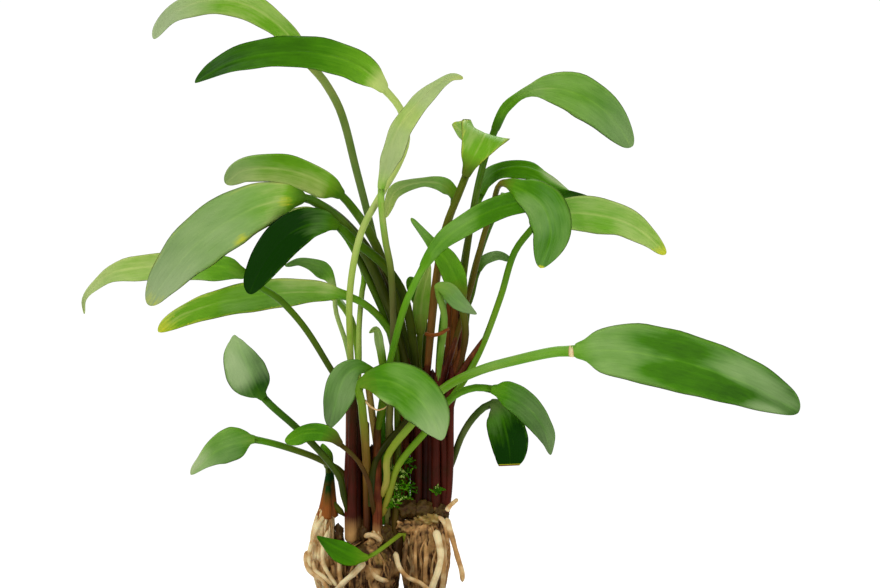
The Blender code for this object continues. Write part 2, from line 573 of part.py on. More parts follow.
def make_pot():
    """A plain tapering pot with a flat base and a plain band as its rim."""
    rim = POT_RIM_DIAMETER / 2
    under_rim = POT_HEIGHT - RIM_HEIGHT
    inner_top = pot_radius(POT_HEIGHT) - POT_WALL
    inner_base = pot_radius(POT_FLOOR) - POT_WALL
    profile = [
        (0, 0),
        (pot_radius(0) - POT_CORNER, 0),
        (pot_radius(0), POT_CORNER),
        (pot_radius(under_rim), under_rim),
        (rim - RIM_UNDER_CORNER, under_rim),
        (rim, under_rim + RIM_UNDER_CORNER),
        (rim, POT_HEIGHT - RIM_OUTER_CORNER),
        (rim - RIM_OUTER_CORNER, POT_HEIGHT),
        (inner_top + RIM_INNER_CORNER, POT_HEIGHT),
        (inner_top, POT_HEIGHT - RIM_INNER_CORNER),
        (inner_base, POT_FLOOR),
        (0, POT_FLOOR),
    ]
    return turned_solid("pot", profile, POT_SIDES, "pot")


def make_medium():
    """The growing medium, which fills the pot and swells a little in the middle."""
    bottom = POT_FLOOR + GAP
    side = MEDIUM_TOP - MEDIUM_SWELL

    def inside(height):
        return (pot_radius(height) - POT_WALL - GAP) * MEDIUM_FIT

    profile = [
        (0, bottom),
        (inside(bottom), bottom),
        (inside(side), side),
        (inside(side) * MEDIUM_SHOULDER, MEDIUM_TOP - MEDIUM_SHOULDER_DROP * MEDIUM_SWELL),
        (inside(side) * MEDIUM_CREST, MEDIUM_TOP),
        (0, MEDIUM_TOP),
    ]
    return turned_solid("growing_medium", profile, MEDIUM_SIDES, "medium")


def main():
    for old in list(bpy.data.objects):
        bpy.data.objects.remove(old, do_unlink=True)
    make_pot()
    make_medium()
    for name, crown in CROWNS.items():
        make_crown(name, crown)
    for name, root in ROOTS.items():
        make_root(name, root)
    for name, shoot in SHOOTS.items():
        make_shoot(name, shoot)
    for name, leaf in LEAVES.items():
        make_leaf(name, leaf)


main()
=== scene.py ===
"""A potted cryptocoryne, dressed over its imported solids.

A bushy water plant: long-stalked leaves with a waxy skin, reddish-brown sheaths at their feet, crowns of
matted pale roots and a small plain pot filled with damp fibres. Lengths in the tables are in millimetres.
"""

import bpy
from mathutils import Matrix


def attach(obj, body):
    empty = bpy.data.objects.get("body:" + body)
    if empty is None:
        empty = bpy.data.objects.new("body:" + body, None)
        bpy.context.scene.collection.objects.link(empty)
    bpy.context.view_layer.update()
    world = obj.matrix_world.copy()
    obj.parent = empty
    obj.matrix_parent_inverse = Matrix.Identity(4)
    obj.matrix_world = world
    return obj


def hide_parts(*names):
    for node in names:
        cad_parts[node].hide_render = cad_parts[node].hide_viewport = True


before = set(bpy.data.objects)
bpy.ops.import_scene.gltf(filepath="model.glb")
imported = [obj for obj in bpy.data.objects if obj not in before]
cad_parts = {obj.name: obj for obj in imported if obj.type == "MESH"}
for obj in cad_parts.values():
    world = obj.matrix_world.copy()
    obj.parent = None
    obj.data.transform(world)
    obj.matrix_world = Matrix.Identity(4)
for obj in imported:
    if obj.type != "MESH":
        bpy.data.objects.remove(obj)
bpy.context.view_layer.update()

import math
import random
from collections import namedtuple

import bmesh
import bpy
from bpy.props import FloatProperty, FloatVectorProperty, IntProperty, PointerProperty
from mathutils import Vector, noise

bl_info = {
    "name": "Potted cryptocoryne",
    "version": (1, 0, 0),
    "blender": (4, 5, 0),
    "location": "3D View > Sidebar > Water plant",
    "description": "Builds a potted cryptocoryne with its leaves, sheaths, roots, growing medium and pot",
    "category": "Add Mesh",
}

MM = 0.001

# The viewing point that leaves, shoots and roots are laid out from, as seen from the front
VIEW_X = 17.6
VIEW_Z = 147.9
VIEW_DISTANCE = 900.0

# The camera's image plane and how much of the plant it takes in, across, at the pot's axis
SENSOR_WIDTH = 36.0
VIEW_SPAN = 281.6

Leaf = namedtuple(
    "Leaf",
    "stalk blade outline turn cup fold ripple side flap under tone bloom ageing upper marks stem blush film "
    "stout slot",
    defaults=(25, 0.12, 0.0, 0.3, None, None, False, (0.5, 0.5, 0.5), (0, 0, 0), (0, 0, 0), 0.0, (),
              (0.3, 0.4, 0.5), (0.6, 0.3, 0.0), 0.0, 1.0, "leaf_mid"),
)
Shoot = namedtuple("Shoot", "x y half_width half_depth bottom top left_shade right_shade climb foot")
Crown = namedtuple("Crown", "x y half_width half_depth bottom top lobes foot neck lean age")
Root = namedtuple("Root", "route width end_width")

# Each point is (across, height, depth): where it appears from the front, measured in the plane of the
# pot's axis, and how far it lies behind that plane. An outline gives the blade's reach above and below its
# midrib at fractions of its length, or one reach for both.
# Turn is how many degrees the blade is rolled away from the front. Cup and fold bend its halves, ripple
# waves its margins, and under says that its underside shows. Side is the way that a blade spreads which is
# seen along its length, and flap the way that its folded tip lies.
# Tone runs from deep green, 0, to pale green, 1, at the blade's base, middle and tip: the blade's own green
# with painted light and painted shade in it. Next is its pale grey-green painted sheen there, standing for
# the reflection of the bright room, and then ageing, its yellowing at the base, margins and tip. Upper is how
# much
# lighter the upper half is, painted light, or darker where below 0, painted shade. A mark is a soft patch:
# (place along, place up, length, height) as shares of the blade, then its change of tone, sheen and ageing;
# its changes of tone and sheen are painted light, shade and sheen.
# Stem and blush are the stalk's tone and its brown at the foot, middle and top, then comes the amount of its
# painted sheen, and stout how much wider it is half way up.
LEAVES = {
    "leaf_top_left": Leaf(
        stalk=[(10.2, 114.5, 7.4), (6, 131, 12), (-0.6, 153, 13), (-4.9, 171, 13), (-9.3, 188, 11),
            (-14, 205.8, 10), (-19.2, 215.6, 9)],
        blade=[(-24.6, 222, 8), (-29.8, 229.4, 7), (-35.2, 234.9, 6), (-43, 239.9, 5), (-51.8, 242.2, 4),
            (-61, 241, 3), (-69, 237, 2), (-74, 229.5, 1)],
        outline=[(0, 1.4), (0.1, 2.9, 3), (0.25, 3.6, 3.7), (0.45, 4.4, 4.8), (0.6, 3.8, 4.6), (0.75, 3, 3.8),
            (0.85, 2.6, 2.8), (0.93, 2.3, 1.6), (1, 0)],
        tone=(0.66, 0.76, 0.8), bloom=(0, 0.1, 1.2), stem=(0.3, 0.35, 0.55), blush=(0.55, 0.25, 0.3),
        film=0.25, slot="leaf_light"),
    # Its tone falls from base to tip: painted light where light shines through its base half, and painted
    # shade where leaf_top_left shadows its outer half
    "leaf_top_arching": Leaf(
        stalk=[(-10.3, 114.5, -2.9), (-11, 127, -6), (-11.2, 149, -8), (-7.8, 167, -8.8), (-1, 180.2, 2.6),
            (4.2, 189.3, 1.8), (6.9, 197.6, -2.4), (5.2, 206.5, -5)],
        blade=[(0, 213.2, -7), (-8.6, 220.6, -9), (-17.6, 223.8, -11), (-27.2, 225, -13), (-39.4, 224.4, -14),
            (-50.2, 221.5, -14), (-60.8, 215.4, -13)],
        outline=[(0, 1.2), (0.05, 3, 2.4), (0.1, 4.2, 4), (0.2, 4.8, 5.4), (0.4, 5.3, 5.2), (0.5, 5.2, 4.6),
            (0.6, 5, 4.4), (0.7, 4.6, 4), (0.8, 4, 3.2), (0.9, 3, 1.7), (0.95, 2, 1), (1, 0)],
        turn=-25, under=True, tone=(0.78, 0.3, 0.1), ageing=(0.1, 0, 0), stem=(0.75, 0.9, 1.15),
        blush=(0.35, 0.12, 0), film=0.15),
    "leaf_top_folded": Leaf(
        stalk=[(-2.4, 104.5, -0.4), (1, 120, -1.8), (2.6, 134, -3.4), (1.9, 155.6, -7.5), (0.3, 164, -7),
            (-0.9, 173.2, -4.4)],
        blade=[(-1.2, 181.6, -3.8), (0.4, 189.2, -7.2), (1.7, 194.4, -12), (4.2, 200.8, -16),
            (9.1, 207.4, -19), (15, 213.8, -20), (20.8, 217.4, -20), (25, 217, -19)],
        outline=[(0, 1.1), (0.06, 1.5), (0.13, 2, 2.5), (0.2, 2.5, 3.3), (0.27, 2.8, 4), (0.38, 2.9, 4.2),
            (0.47, 3.1, 3.5), (0.65, 3.2, 2.9), (0.74, 2.5, 2.6), (0.82, 1.8, 2.1), (0.91, 1.4, 1.5),
            (0.955, 1.1, 0.9), (1, 0)],
        turn=(10, 25, 30), cup=0.1, fold=0.35, tone=(0.92, 0.9, 0.85), bloom=(0.7, 0.55, 0.55),
        ageing=(0, 0, 0.4), marks=[(0.56, 0, 0.1, 1.5, 0, -0.35, 0)], stem=(0.2, 0.2, 0.8),
        blush=(0.6, 0.55, 0), film=0.15, slot="leaf_light"),
    "leaf_upper_left": Leaf(
        stalk=[(10.2, 114.5, 4.6), (5.6, 130, 8), (2.2, 146, 9), (-1.6, 160.4, 9), (-5.6, 168.6, 9),
            (-9.9, 174.8, 8)],
        blade=[(-13.8, 179.3, 6), (-19.2, 183.1, 5), (-27.2, 186.6, 4), (-36.8, 188.2, 3), (-45.4, 187.4, 3),
            (-51.2, 183.4, 3)],
        outline=[(0, 1.2), (0.05, 2.4), (0.1, 3.4, 4), (0.2, 4.2, 5), (0.35, 4.8, 5), (0.5, 5.2, 4.8),
            (0.6, 5, 4.3), (0.8, 4.1, 3.9), (0.9, 3.5, 3.3), (0.95, 2.7, 2.4), (1, 0)],
        tone=(0.92, 0.74, 0.84), bloom=(0.05, 0.08, 0.6), ageing=(0.05, 0, 0.2), upper=-0.15,
        stem=(0.1, 0.12, 0.35), blush=(0.6, 0.55, 0.15), stout=1.35, slot="leaf_light"),
    "leaf_left_broad": Leaf(
        stalk=[(10.2, 114.5, 1.8), (6.2, 127, 1.8), (2.2, 141.2, 1.5), (-4.8, 158.2, 0.6),
            (-10.2, 166.5, -0.5), (-15, 171.8, -2), (-20.8, 176.4, -4)],
        blade=[(-25.9, 178.6, -7), (-39.4, 176.4, -13), (-52.2, 170, -17), (-62.4, 162, -20),
            (-70.4, 152.4, -22), (-75.8, 144.4, -23)],
        outline=[(0, 1.3, 1.2), (0.05, 3.4, 3), (0.1, 5.2, 4.6), (0.2, 7, 6.4), (0.3, 8, 7.4),
            (0.4, 8.8, 8.1), (0.5, 8.8, 8.2), (0.6, 8.3, 8), (0.7, 7.6, 7), (0.8, 6.4, 5.5), (0.9, 4.6, 4),
            (0.95, 3.4, 3), (1, 0)],
        tone=(0.85, 0.58, 0.3), bloom=(0.05, 0.5, 0.75), ageing=(0, 0.25, 0.35),
        marks=[(0.1, -0.1, 0.05, 0.4, 0, 0, 0.45), (0.4, -0.8, 0.04, 0.15, 0, 0, 0.6)], stem=(0.1, 0.15, 0.3),
        blush=(0.6, 0.5, 0.2), stout=1.5),
    # Its very low tone is painted shade, the shadow of leaf_left_broad above it
    "leaf_left_dark": Leaf(
        stalk=[(10.4, 114.5, -1.1), (9.2, 130, -1.6), (6.1, 147, -2.6), (0.6, 156.2, -3.4), (-4.2, 160.6, -4),
            (-9.6, 164.6, -4)],
        blade=[(-15, 169.5, -5), (-23.4, 170.3, -8), (-31, 166.8, -10), (-36.8, 160.4, -12),
            (-41.3, 153, -13), (-43.5, 147.9, -13)],
        outline=[(0, 1.2), (0.05, 2.4, 1.9), (0.1, 3.8, 2.8), (0.2, 5.2, 4.1), (0.3, 5.9, 5.3),
            (0.4, 6.2, 5.8), (0.5, 6.1, 6), (0.6, 5.9, 5.8), (0.7, 5.4, 5.2), (0.8, 4.6, 4.4),
            (0.9, 3.6, 3.2), (0.95, 2.7, 2.3), (1, 0)],
        turn=8, tone=(0.25, -0.06, -0.04), bloom=(0.1, 0, 0), upper=-0.06, stem=(0.05, 0.15, 0.3),
        blush=(0.6, 0.5, 0.2), stout=1.35, slot="leaf_dark"),
    "leaf_far_left": Leaf(
        stalk=[(-11.4, 114.5, -0.4), (-17, 123.3, -3), (-25.6, 137, -4), (-33.9, 146.3, -4),
            (-39.6, 150, -4)],
        blade=[(-44.5, 154, -4), (-51.2, 156.6, -4), (-64, 157.2, -3), (-78.4, 156.4, -2), (-88, 154.6, -1),
            (-93.4, 150.2, 0), (-96.4, 146, 1), (-96.3, 141.5, 1)],
        outline=[(0, 1.1), (0.04, 2, 2.6), (0.1, 3.6, 4), (0.2, 4, 4.8), (0.35, 4.3, 4.7), (0.5, 4.3),
            (0.6, 3.9, 4), (0.7, 2.6, 3.4), (0.8, 1.4, 2), (0.88, 1, 1.2), (0.95, 0.7), (1, 0)],
        tone=(0.5, 0.86, 0.98), bloom=(0, 0.15, 0.5), ageing=(0, 0.08, 0.2), upper=0.05,
        stem=(0.2, 0.3, 0.42), blush=(0.5, 0.35, 0.1)),
    "leaf_left_yellow_edged": Leaf(
        stalk=[(3, 70.6, -3.2), (4, 90, -2), (4, 110, 0), (3.8, 126, 0.4), (2, 134.8, 0.4), (-3.8, 142.5, 1)],
        blade=[(-11.4, 147, 3.4), (-24, 148.6, 4), (-40, 147.6, 4), (-54.4, 144.7, 4), (-65, 141.2, 3),
            (-72.6, 135.8, 2)],
        outline=[(0, 1.2), (0.05, 2, 1.6), (0.1, 3, 2.3), (0.2, 4.2, 3.4), (0.3, 4.7, 4.3), (0.45, 5, 4.9),
            (0.6, 4.8, 4.6), (0.7, 4.3, 4.2), (0.8, 3.4, 4.1), (0.9, 2.7, 3), (0.95, 2.2, 2), (1, 0)],
        tone=(0.84, 0.6, 0.68), bloom=(0.25, 0.12, 0), ageing=(0, 0.45, 0.6), upper=0.12,
        marks=[(0.86, 0, 0.17, 1.5, 0.08, -0.4, 0.1)], stem=(0.2, 0.25, 0.5), blush=(0.85, 0.4, 0.1)),
    "leaf_left_small": Leaf(
        stalk=[(-11.2, 114.5, 1.9), (-10.9, 123.6, 4), (-12.6, 132.6, 7.4), (-15.7, 142.2, 9)],
        blade=[(-16.3, 149.5, 9.6), (-17.6, 154, 9.6), (-21.4, 156.9, 9), (-27.2, 158.2, 8), (-32, 156.9, 7)],
        outline=[(0, 0.78), (0.1, 0.9, 1.6), (0.2, 1.3, 2.4), (0.3, 2, 3), (0.4, 2.3, 3.2), (0.5, 2, 2.8),
            (0.6, 1.8, 2.2), (0.7, 1.7, 1.6), (0.8, 1.4, 1), (0.92, 0.8, 0.7), (1, 0)],
        turn=30, tone=(0.56, 0.5, 0.38), bloom=(0, 0.2, 0.3), stem=(0.5, 0.8, 1), blush=(0.3, 0.1, 0),
        film=0.35),
    # Its high tone is painted light that lifts the shade among the leaves round it
    "leaf_left_inner": Leaf(
        stalk=[(-8.8, 114.5, -0.4), (-8.3, 126.5, 1), (-8.3, 137, 5), (-7.4, 148.2, 7.6), (-6.7, 154, 7.4),
            (-9.3, 160.4, 6), (-12.8, 166.4, 4.6)],
        blade=[(-17, 170.8, 3.6), (-24, 173.8, 2.6), (-28.8, 174, 1.6), (-33.6, 172.8, 1)],
        outline=[(0, 0.9), (0.15, 1.6), (0.4, 2, 2.4), (0.7, 1.8, 2.2), (0.9, 1, 1.1), (1, 0)],
        turn=40, tone=(0.92, 0.92, 0.85), bloom=(0.3, 0.1, 0.05), ageing=(0, 0.1, 0), stem=(0.75, 0.85, 0.3),
        blush=(0.15, 0.05, 0.1), slot="leaf_light"),
    "leaf_middle_arch": Leaf(
        stalk=[(12.9, 114.5, 3.1), (14.9, 136.4, 5), (17.6, 160, 5), (20.2, 171, 5.4)],
        blade=[(22.4, 178.6, 6), (19.8, 182.3, 7), (14.4, 183.8, 8), (8, 183, 8), (2.8, 180.2, 8),
            (0.2, 172.4, 8)],
        outline=[(0, 1.2), (0.08, 2, 1.8), (0.16, 2.5, 2.4), (0.3, 2, 2.1), (0.42, 1.7, 1.6),
            (0.55, 1.8, 1.7), (0.7, 2.4, 2.2), (0.85, 1.9, 1.7), (0.94, 1, 0.9), (1, 0)],
        turn=35, tone=(0.6, 0.66, 0.95), bloom=(0.2, 0.3, 0), stem=(0.5, 0.55, 0.45), blush=(0.9, 0.7, 0.2),
        slot="leaf_light"),
    "leaf_bent_back": Leaf(
        stalk=[(13, 114.5, 0.2), (14.1, 131.6, 0), (16, 150.8, -0.5), (19.2, 168.4, -1), (23.2, 179, -4)],
        blade=[(25.9, 185.7, -6), (28.2, 191, -8), (31, 196.8, -8), (32, 199.4, -4), (30.4, 198.8, 1),
            (27, 198.4, 6), (21.6, 202.4, 10)],
        outline=[(0, 1.2, 1.3), (0.08, 1.8, 2.3), (0.167, 2.9, 4.3), (0.25, 4.2, 5.6), (0.34, 5.8, 7.2),
            (0.43, 7.7, 8.2), (0.5, 8.4), (0.6, 6.6, 6.2), (0.72, 4.8, 4.6), (0.82, 4.2), (0.9, 3.5),
            (0.96, 1.8), (1, 0)],
        turn=0, side=(0.93, 0, -0.37), flap=(0.35, 0.1, -0.93), tone=(0.66, 0.74, 0.75),
        bloom=(0.05, 0.15, 0), ageing=(0.05, 0.5, 0.3), stem=(0.5, 0.5, 0.35), blush=(0.95, 0.85, 0.45),
        slot="leaf_light"),
    "leaf_top_right": Leaf(
        stalk=[(19, 112.5, 4.4), (23.4, 137, 8), (25.6, 157.2, 9.6), (28.8, 178, 13), (32.2, 192.2, 17)],
        blade=[(35.2, 200.4, 17), (38.6, 207.2, 15), (45.4, 212.6, 11), (55.4, 213.6, 6), (65.6, 210, 1),
            (73.3, 203.6, -3), (79, 195, -5)],
        outline=[(0, 1.2, 1.1), (0.06, 1.7, 1.5), (0.14, 1.9, 1.5), (0.22, 1.6, 1.3), (0.3, 2, 2.1),
            (0.4, 4.2, 4.3), (0.5, 6.1, 6), (0.6, 6.9, 6.8), (0.7, 6.4, 6.7), (0.8, 5.3, 5.9),
            (0.9, 3.9, 4.7), (0.95, 2.8, 3.4), (1, 0)],
        tone=(0.55, 0.64, 0.34), bloom=(0, 0.2, 0.4), ageing=(0, 0.05, 0.1),
        marks=[(0.3, 0, 0.08, 1.5, 0.05, 0.15, 0)], stem=(0.2, 0.32, 0.3), blush=(0.85, 0.5, 0.15)),
    "leaf_right_underside": Leaf(
        stalk=[(19, 113, 7.2), (22, 131.6, 12), (24.9, 156, 15), (27.9, 171.6, 18)],
        blade=[(30.7, 179.6, 21), (34.9, 186, 22), (40.6, 188.2, 22), (47, 187.6, 21), (52.8, 184.6, 20),
            (59.8, 179.9, 18)],
        outline=[(0, 1.1, 1), (0.08, 2.2, 1.2), (0.18, 3.5, 2), (0.3, 2.7, 3), (0.42, 2.2, 3.6),
            (0.55, 2.5, 3.6), (0.7, 1.2, 3), (0.85, 0.9, 1.8), (0.94, 0.7, 1), (1, 0)],
        turn=-35, under=True, tone=(0.34, 0.42, 0.48), bloom=(0.3, -0.1, 0.2),
        marks=[(0.8, 0.5, 0.16, 0.7, 0.4, 0.8, 0)], stem=(0.45, 0.3, 0.38), blush=(0.9, 0.5, 0.2),
        slot="leaf_dark"),
    "leaf_right_long": Leaf(
        stalk=[(-2.4, 104.5, -2.8), (0.4, 121, -4.6), (2.9, 131.6, -7.4), (6.4, 144.2, -9)],
        blade=[(12.2, 156.4, -9), (17.6, 164.2, -10), (25.6, 170.3, -10.4), (36.8, 175.8, -8),
            (48, 178, -5.4), (57.6, 179, -3), (65.6, 178.6, -1)],
        outline=[(0, 1.2, 1.1), (0.1, 2.2), (0.2, 3), (0.35, 3.5, 3.8), (0.5, 3.9, 3.8), (0.65, 4, 3.4),
            (0.8, 3, 2.6), (0.9, 2, 1.7), (1, 0)],
        turn=15, tone=(0.5, 0.36, 0.1), bloom=(0.15, 0, -0.1), marks=[(0.28, 0, 0.12, 1.5, 0.12, 0.1, 0)],
        stem=(0.35, 0.5, 0.55), blush=(0.4, 0.1, 0)),
    "leaf_right_hanging": Leaf(
        stalk=[(16.6, 112.5, 0.8), (22.8, 134, 4), (27.5, 150.2, 4), (31, 164.6, 2.4), (34.2, 174.8, -1)],
        blade=[(37, 183.2, -8), (44.8, 180.6, -18), (51, 175.2, -24), (53.1, 166.8, -28), (49.9, 156.2, -30)],
        outline=[(0, 0.9), (0.06, 1.2, 1.5), (0.13, 2, 2.6), (0.22, 3, 3.8), (0.32, 4.8, 5), (0.42, 6),
            (0.52, 6.8, 6.5), (0.62, 6.9, 6.4), (0.72, 6.2, 5.8), (0.8, 5.1, 5.4), (0.9, 3.4, 4),
            (0.95, 2.3, 2.8), (1, 0)],
        turn=12, cup=-0.15, tone=(0.47, 0.38, 0.28), bloom=(0, 0.12, 0.1),
        marks=[(0.5, -0.5, 0.3, 0.5, 0.05, 0.15, 0), (1, 0, 0.02, 1.5, 0, 0, 0.9)], stem=(0.35, 0.3, 0.4),
        blush=(0.95, 0.7, 0.6), slot="leaf_light"),
    "leaf_right_outer": Leaf(
        stalk=[(19.2, 112.5, -1.2), (24.6, 119, -2), (30.7, 130.3, 0), (37.1, 147.3, 0), (41.3, 161, -3),
            (46.7, 168.4, -6)],
        blade=[(51.2, 172.6, -9), (58.6, 173.8, -12), (67.2, 173.4, -13), (76.8, 171, -13),
            (84.2, 166.5, -12), (89.9, 160.7, -11)],
        outline=[(0, 1.1), (0.05, 2.6, 2.4), (0.1, 4, 3.8), (0.2, 5.3, 5.2), (0.3, 5.8, 5.7), (0.4, 5.8, 5.7),
            (0.5, 5.5, 5.4), (0.6, 4.9, 4.7), (0.7, 4.1, 4.2), (0.8, 3.1, 3.6), (0.9, 2, 2.6),
            (0.95, 1.4, 1.9), (1, 0)],
        tone=(0.64, 0.74, 0.78), bloom=(0.15, 0.2, 0.05), ageing=(0.1, 0.1, 0.75), stem=(0.5, 0.5, 0.3),
        blush=(0.12, 0.1, 0.1), slot="leaf_light"),
    # Its marks paint patches of sheen with darker streaks between them
    "leaf_far_right": Leaf(
        stalk=[(0.6, 88.5, -7.4), (0.8, 96, -9), (8.6, 106.3, -10), (18.2, 117.2, -11), (29.8, 123.3, -11),
            (42.2, 126.8, -12), (54.4, 129.4, -13)],
        blade=[(60.8, 129.6, -14), (75.2, 129.8, -16), (88, 127.8, -18), (100.8, 124.6, -20),
            (115.2, 119.4, -22), (132.5, 110.2, -24)],
        outline=[(0, 1.8, 1.7), (0.04, 3.6, 3.2), (0.1, 6.6), (0.2, 8.8, 8.4), (0.3, 9.8, 9), (0.4, 9.8, 9.3),
            (0.5, 9.4, 9.2), (0.6, 9, 8.6), (0.7, 8.4, 7.8), (0.8, 7.7, 6.4), (0.9, 6.2, 4.4), (0.95, 4.8, 3),
            (1, 0)],
        ripple=0.2, tone=(0.62, 0.45, 0.18), bloom=(0.4, 0.25, 0.15),
        marks=[(0.56, -0.5, 0.28, 0.5, -0.18, -0.4, 0), (0.4, 0.5, 0.2, 0.55, -0.16, -0.25, 0),
            (0.78, 0.3, 0.2, 0.45, 0.1, 0.25, 0), (0.86, -0.8, 0.08, 0.35, 0.1, 0.35, 0)],
        stem=(0.8, 0.6, 0.62), blush=(0.6, 0.12, 0), film=0.1),
    "leaf_lower_right": Leaf(
        stalk=[(1, 82.6, -5.4), (4.2, 93, -7.4), (13.4, 104.4, -8), (21, 114.4, -6.8), (28, 117.8, -6.4)],
        blade=[(34.2, 117.4, -7.4), (40, 115, -10), (46.4, 110.8, -13), (51.2, 104.4, -15),
            (53.1, 96.4, -16)],
        outline=[(0, 1.2), (0.05, 2, 1.7), (0.1, 3.4, 2.5), (0.2, 4.8, 3.6), (0.3, 5.1, 4.2), (0.4, 4.7, 4.4),
            (0.5, 4.3), (0.6, 3.9, 4.1), (0.7, 3.2, 3.8), (0.8, 2.7, 2.9), (0.9, 1.7, 1.4), (0.95, 1.1, 0.9),
            (1, 0)],
        tone=(0.43, 0.2, 0.08), bloom=(0.02, 0.2, 0.25), stem=(0.75, 0.55, 0.52), blush=(0.65, 0.2, 0)),
    "leaf_torn": Leaf(
        stalk=[(21.8, 95, 0.4), (24.7, 102.8, 1), (29, 109.2, 0)],
        blade=[(33.8, 112.6, -1.6), (36.8, 110, -2), (38.9, 102.8, -3), (39.8, 97.5, -3.5), (40, 92.9, -4)],
        outline=[(0, 1.2), (0.1, 3, 3.4), (0.2, 4.6, 4.8), (0.35, 6, 5.5), (0.5, 6.6, 5.6), (0.62, 6.8, 5.5),
            (0.75, 6.2, 5.2), (0.86, 5.2, 4.6), (0.94, 4.2, 4.1), (0.985, 3.3, 3.6), (1, 3, 3.4)],
        turn=10, tone=(0.42, 0.05, -0.04), upper=-0.05,
        marks=[(0.35, -0.45, 0.3, 0.5, 0.1, 0.08, 0), (1, 0, 0.022, 9, 0, 0, 2)], stem=(0.15, 0.2, 0.2),
        blush=(0.6, 0.5, 0.3), film=0.15, slot="leaf_dark"),
    "leaf_front_centre": Leaf(
        stalk=[(-5.8, 70.2, -3.4), (-5.8, 88, -4), (-6.2, 99, -7.4), (-7.4, 112.4, -13)],
        blade=[(-8, 118.8, -17), (0, 120.2, -21), (7.6, 117, -25), (13.8, 110.8, -28), (18.4, 101.2, -30)],
        outline=[(0, 1.2), (0.05, 1.9, 2.8), (0.1, 3, 4.6), (0.17, 4.1, 6.6), (0.25, 5.4, 7.8),
            (0.35, 6.5, 7.6), (0.5, 7.2, 7.9), (0.6, 7, 8), (0.7, 6.4, 7.2), (0.8, 5.4, 5.9), (0.9, 3.7, 3.8),
            (0.95, 2.4, 2.2), (1, 0)],
        turn=18, cup=-0.2, tone=(0.37, 0.43, 0.47), bloom=(0, 0.1, 0.65),
        marks=[(0.15, -1, 0.2, 0.25, 0.3, 0.3, 0)], stem=(0, 0.5, 0.5), blush=(1, 0.8, 0.15), stout=1.2,
        slot="leaf_light"),
    "leaf_front_drooping": Leaf(
        stalk=[(-2.4, 104.5, -5.2), (-0.6, 112, -8), (0.2, 119.6, -9.6)],
        blade=[(-3.5, 122.8, -10.4), (-8.6, 124.4, -12), (-12.5, 122, -13), (-15, 116.6, -14),
            (-17.6, 105, -15)],
        outline=[(0, 1), (0.1, 1.6, 1.5), (0.2, 2.6, 2.7), (0.3, 3.8, 4.4), (0.4, 4.5, 5.6), (0.5, 4.6, 6),
            (0.6, 4.4, 5.7), (0.7, 4.1, 4.9), (0.8, 3.4, 3.8), (0.9, 2.5, 2.3), (0.95, 1.7, 1.4), (1, 0)],
        turn=10, tone=(0.45, 0.4, 0.1), bloom=(0.15, 0.3, 0.18), upper=-0.05,
        marks=[(0.5, -0.5, 0.25, 0.6, 0, 0.12, 0)], stem=(0.35, 0.35, 0.35), blush=(0.4, 0.4, 0.2),
        slot="leaf_dark"),
    "leaf_lower_left_upright": Leaf(
        stalk=[(-13.2, 83.3, -2.6), (-14.4, 89, -5), (-19.5, 96, -8), (-28.2, 105, -10)],
        blade=[(-38.7, 114.6, -10), (-42.2, 121, -11), (-45.4, 127.8, -12), (-48.3, 134.8, -13)],
        outline=[(0, 1.2), (0.05, 1.6, 1.8), (0.1, 2.6, 3.6), (0.2, 4.5, 6.2), (0.3, 5.3, 7.2),
            (0.45, 5.5, 7.6), (0.6, 4.8, 7), (0.7, 4.1, 6.3), (0.8, 3, 5.2), (0.9, 1.8, 3.2),
            (0.95, 0.9, 1.8), (1, 0)],
        turn=12, tone=(-0.08, 0.25, 0.55), bloom=(0, 0.32, 0.68), upper=-0.08,
        marks=[(0.5, -0.6, 0.3, 0.6, 0.08, 0.4, 0)], stem=(0.12, 0.16, 0.18), blush=(0.55, 0.35, 0.05)),
    "leaf_lower_left": Leaf(
        stalk=[(-13.4, 90.4, 0.6), (-18, 93.5, -2), (-25.9, 97, -4)],
        blade=[(-41.6, 101.3, -4), (-48, 100.2, -5), (-54.4, 97.4, -6), (-59.2, 93.2, -6), (-62.1, 90, -6)],
        outline=[(0, 1.1), (0.05, 1.6, 1.5), (0.1, 2.8, 2.6), (0.2, 4.7, 4.4), (0.3, 5.6, 5), (0.4, 5.4, 5.1),
            (0.5, 4.8, 4.9), (0.6, 3.9, 4), (0.7, 2.9), (0.8, 2.1, 1.9), (0.9, 1.6, 1.3), (0.95, 1.2, 0.9),
            (1, 0)],
        tone=(0.28, 0.45, 0.7), bloom=(0, 0.22, 0.65), upper=0.15,
        marks=[(0.8, 0.5, 0.2, 0.6, 0.05, 0.25, 0)], stem=(0.2, 0.25, 0.42), blush=(0.75, 0.5, 0.05)),
    "leaf_lower_left_small": Leaf(
        stalk=[(-4.2, 82, -7.4), (-5.2, 87.6, -9), (-8.6, 94.4, -9.8)],
        blade=[(-14.1, 99.6, -11.4), (-19.2, 103.1, -13.6), (-25.6, 103.4, -15.2), (-32, 100.6, -16)],
        outline=[(0, 0.72), (0.1, 1.7, 1.2), (0.25, 2.8, 2), (0.5, 3, 2.6), (0.75, 2.6, 3), (0.9, 1.8, 2.1),
            (0.95, 1.3, 1.4), (1, 0)],
        turn=30, tone=(0.6, 0.32, 0.5), bloom=(0, -0.1, 0), ageing=(0, 0, 0.2), stem=(0.12, 0.12, 0.2),
        blush=(0.85, 0.85, 0.7), slot="leaf_light"),
    "leaf_at_roots": Leaf(
        stalk=[(6, 71.4, -7), (1.3, 68.2, -12.4)],
        blade=[(-5.4, 63.8, -14.6), (-11.2, 64.7, -15.6), (-16, 67, -16), (-21.8, 70.5, -16)],
        outline=[(0, 0.68), (0.1, 1.5, 1.7), (0.2, 2.3, 3), (0.35, 3, 3.8), (0.5, 3.1, 3.9), (0.65, 2.4, 3.2),
            (0.8, 1.5, 2), (0.93, 0.7, 0.9), (1, 0)],
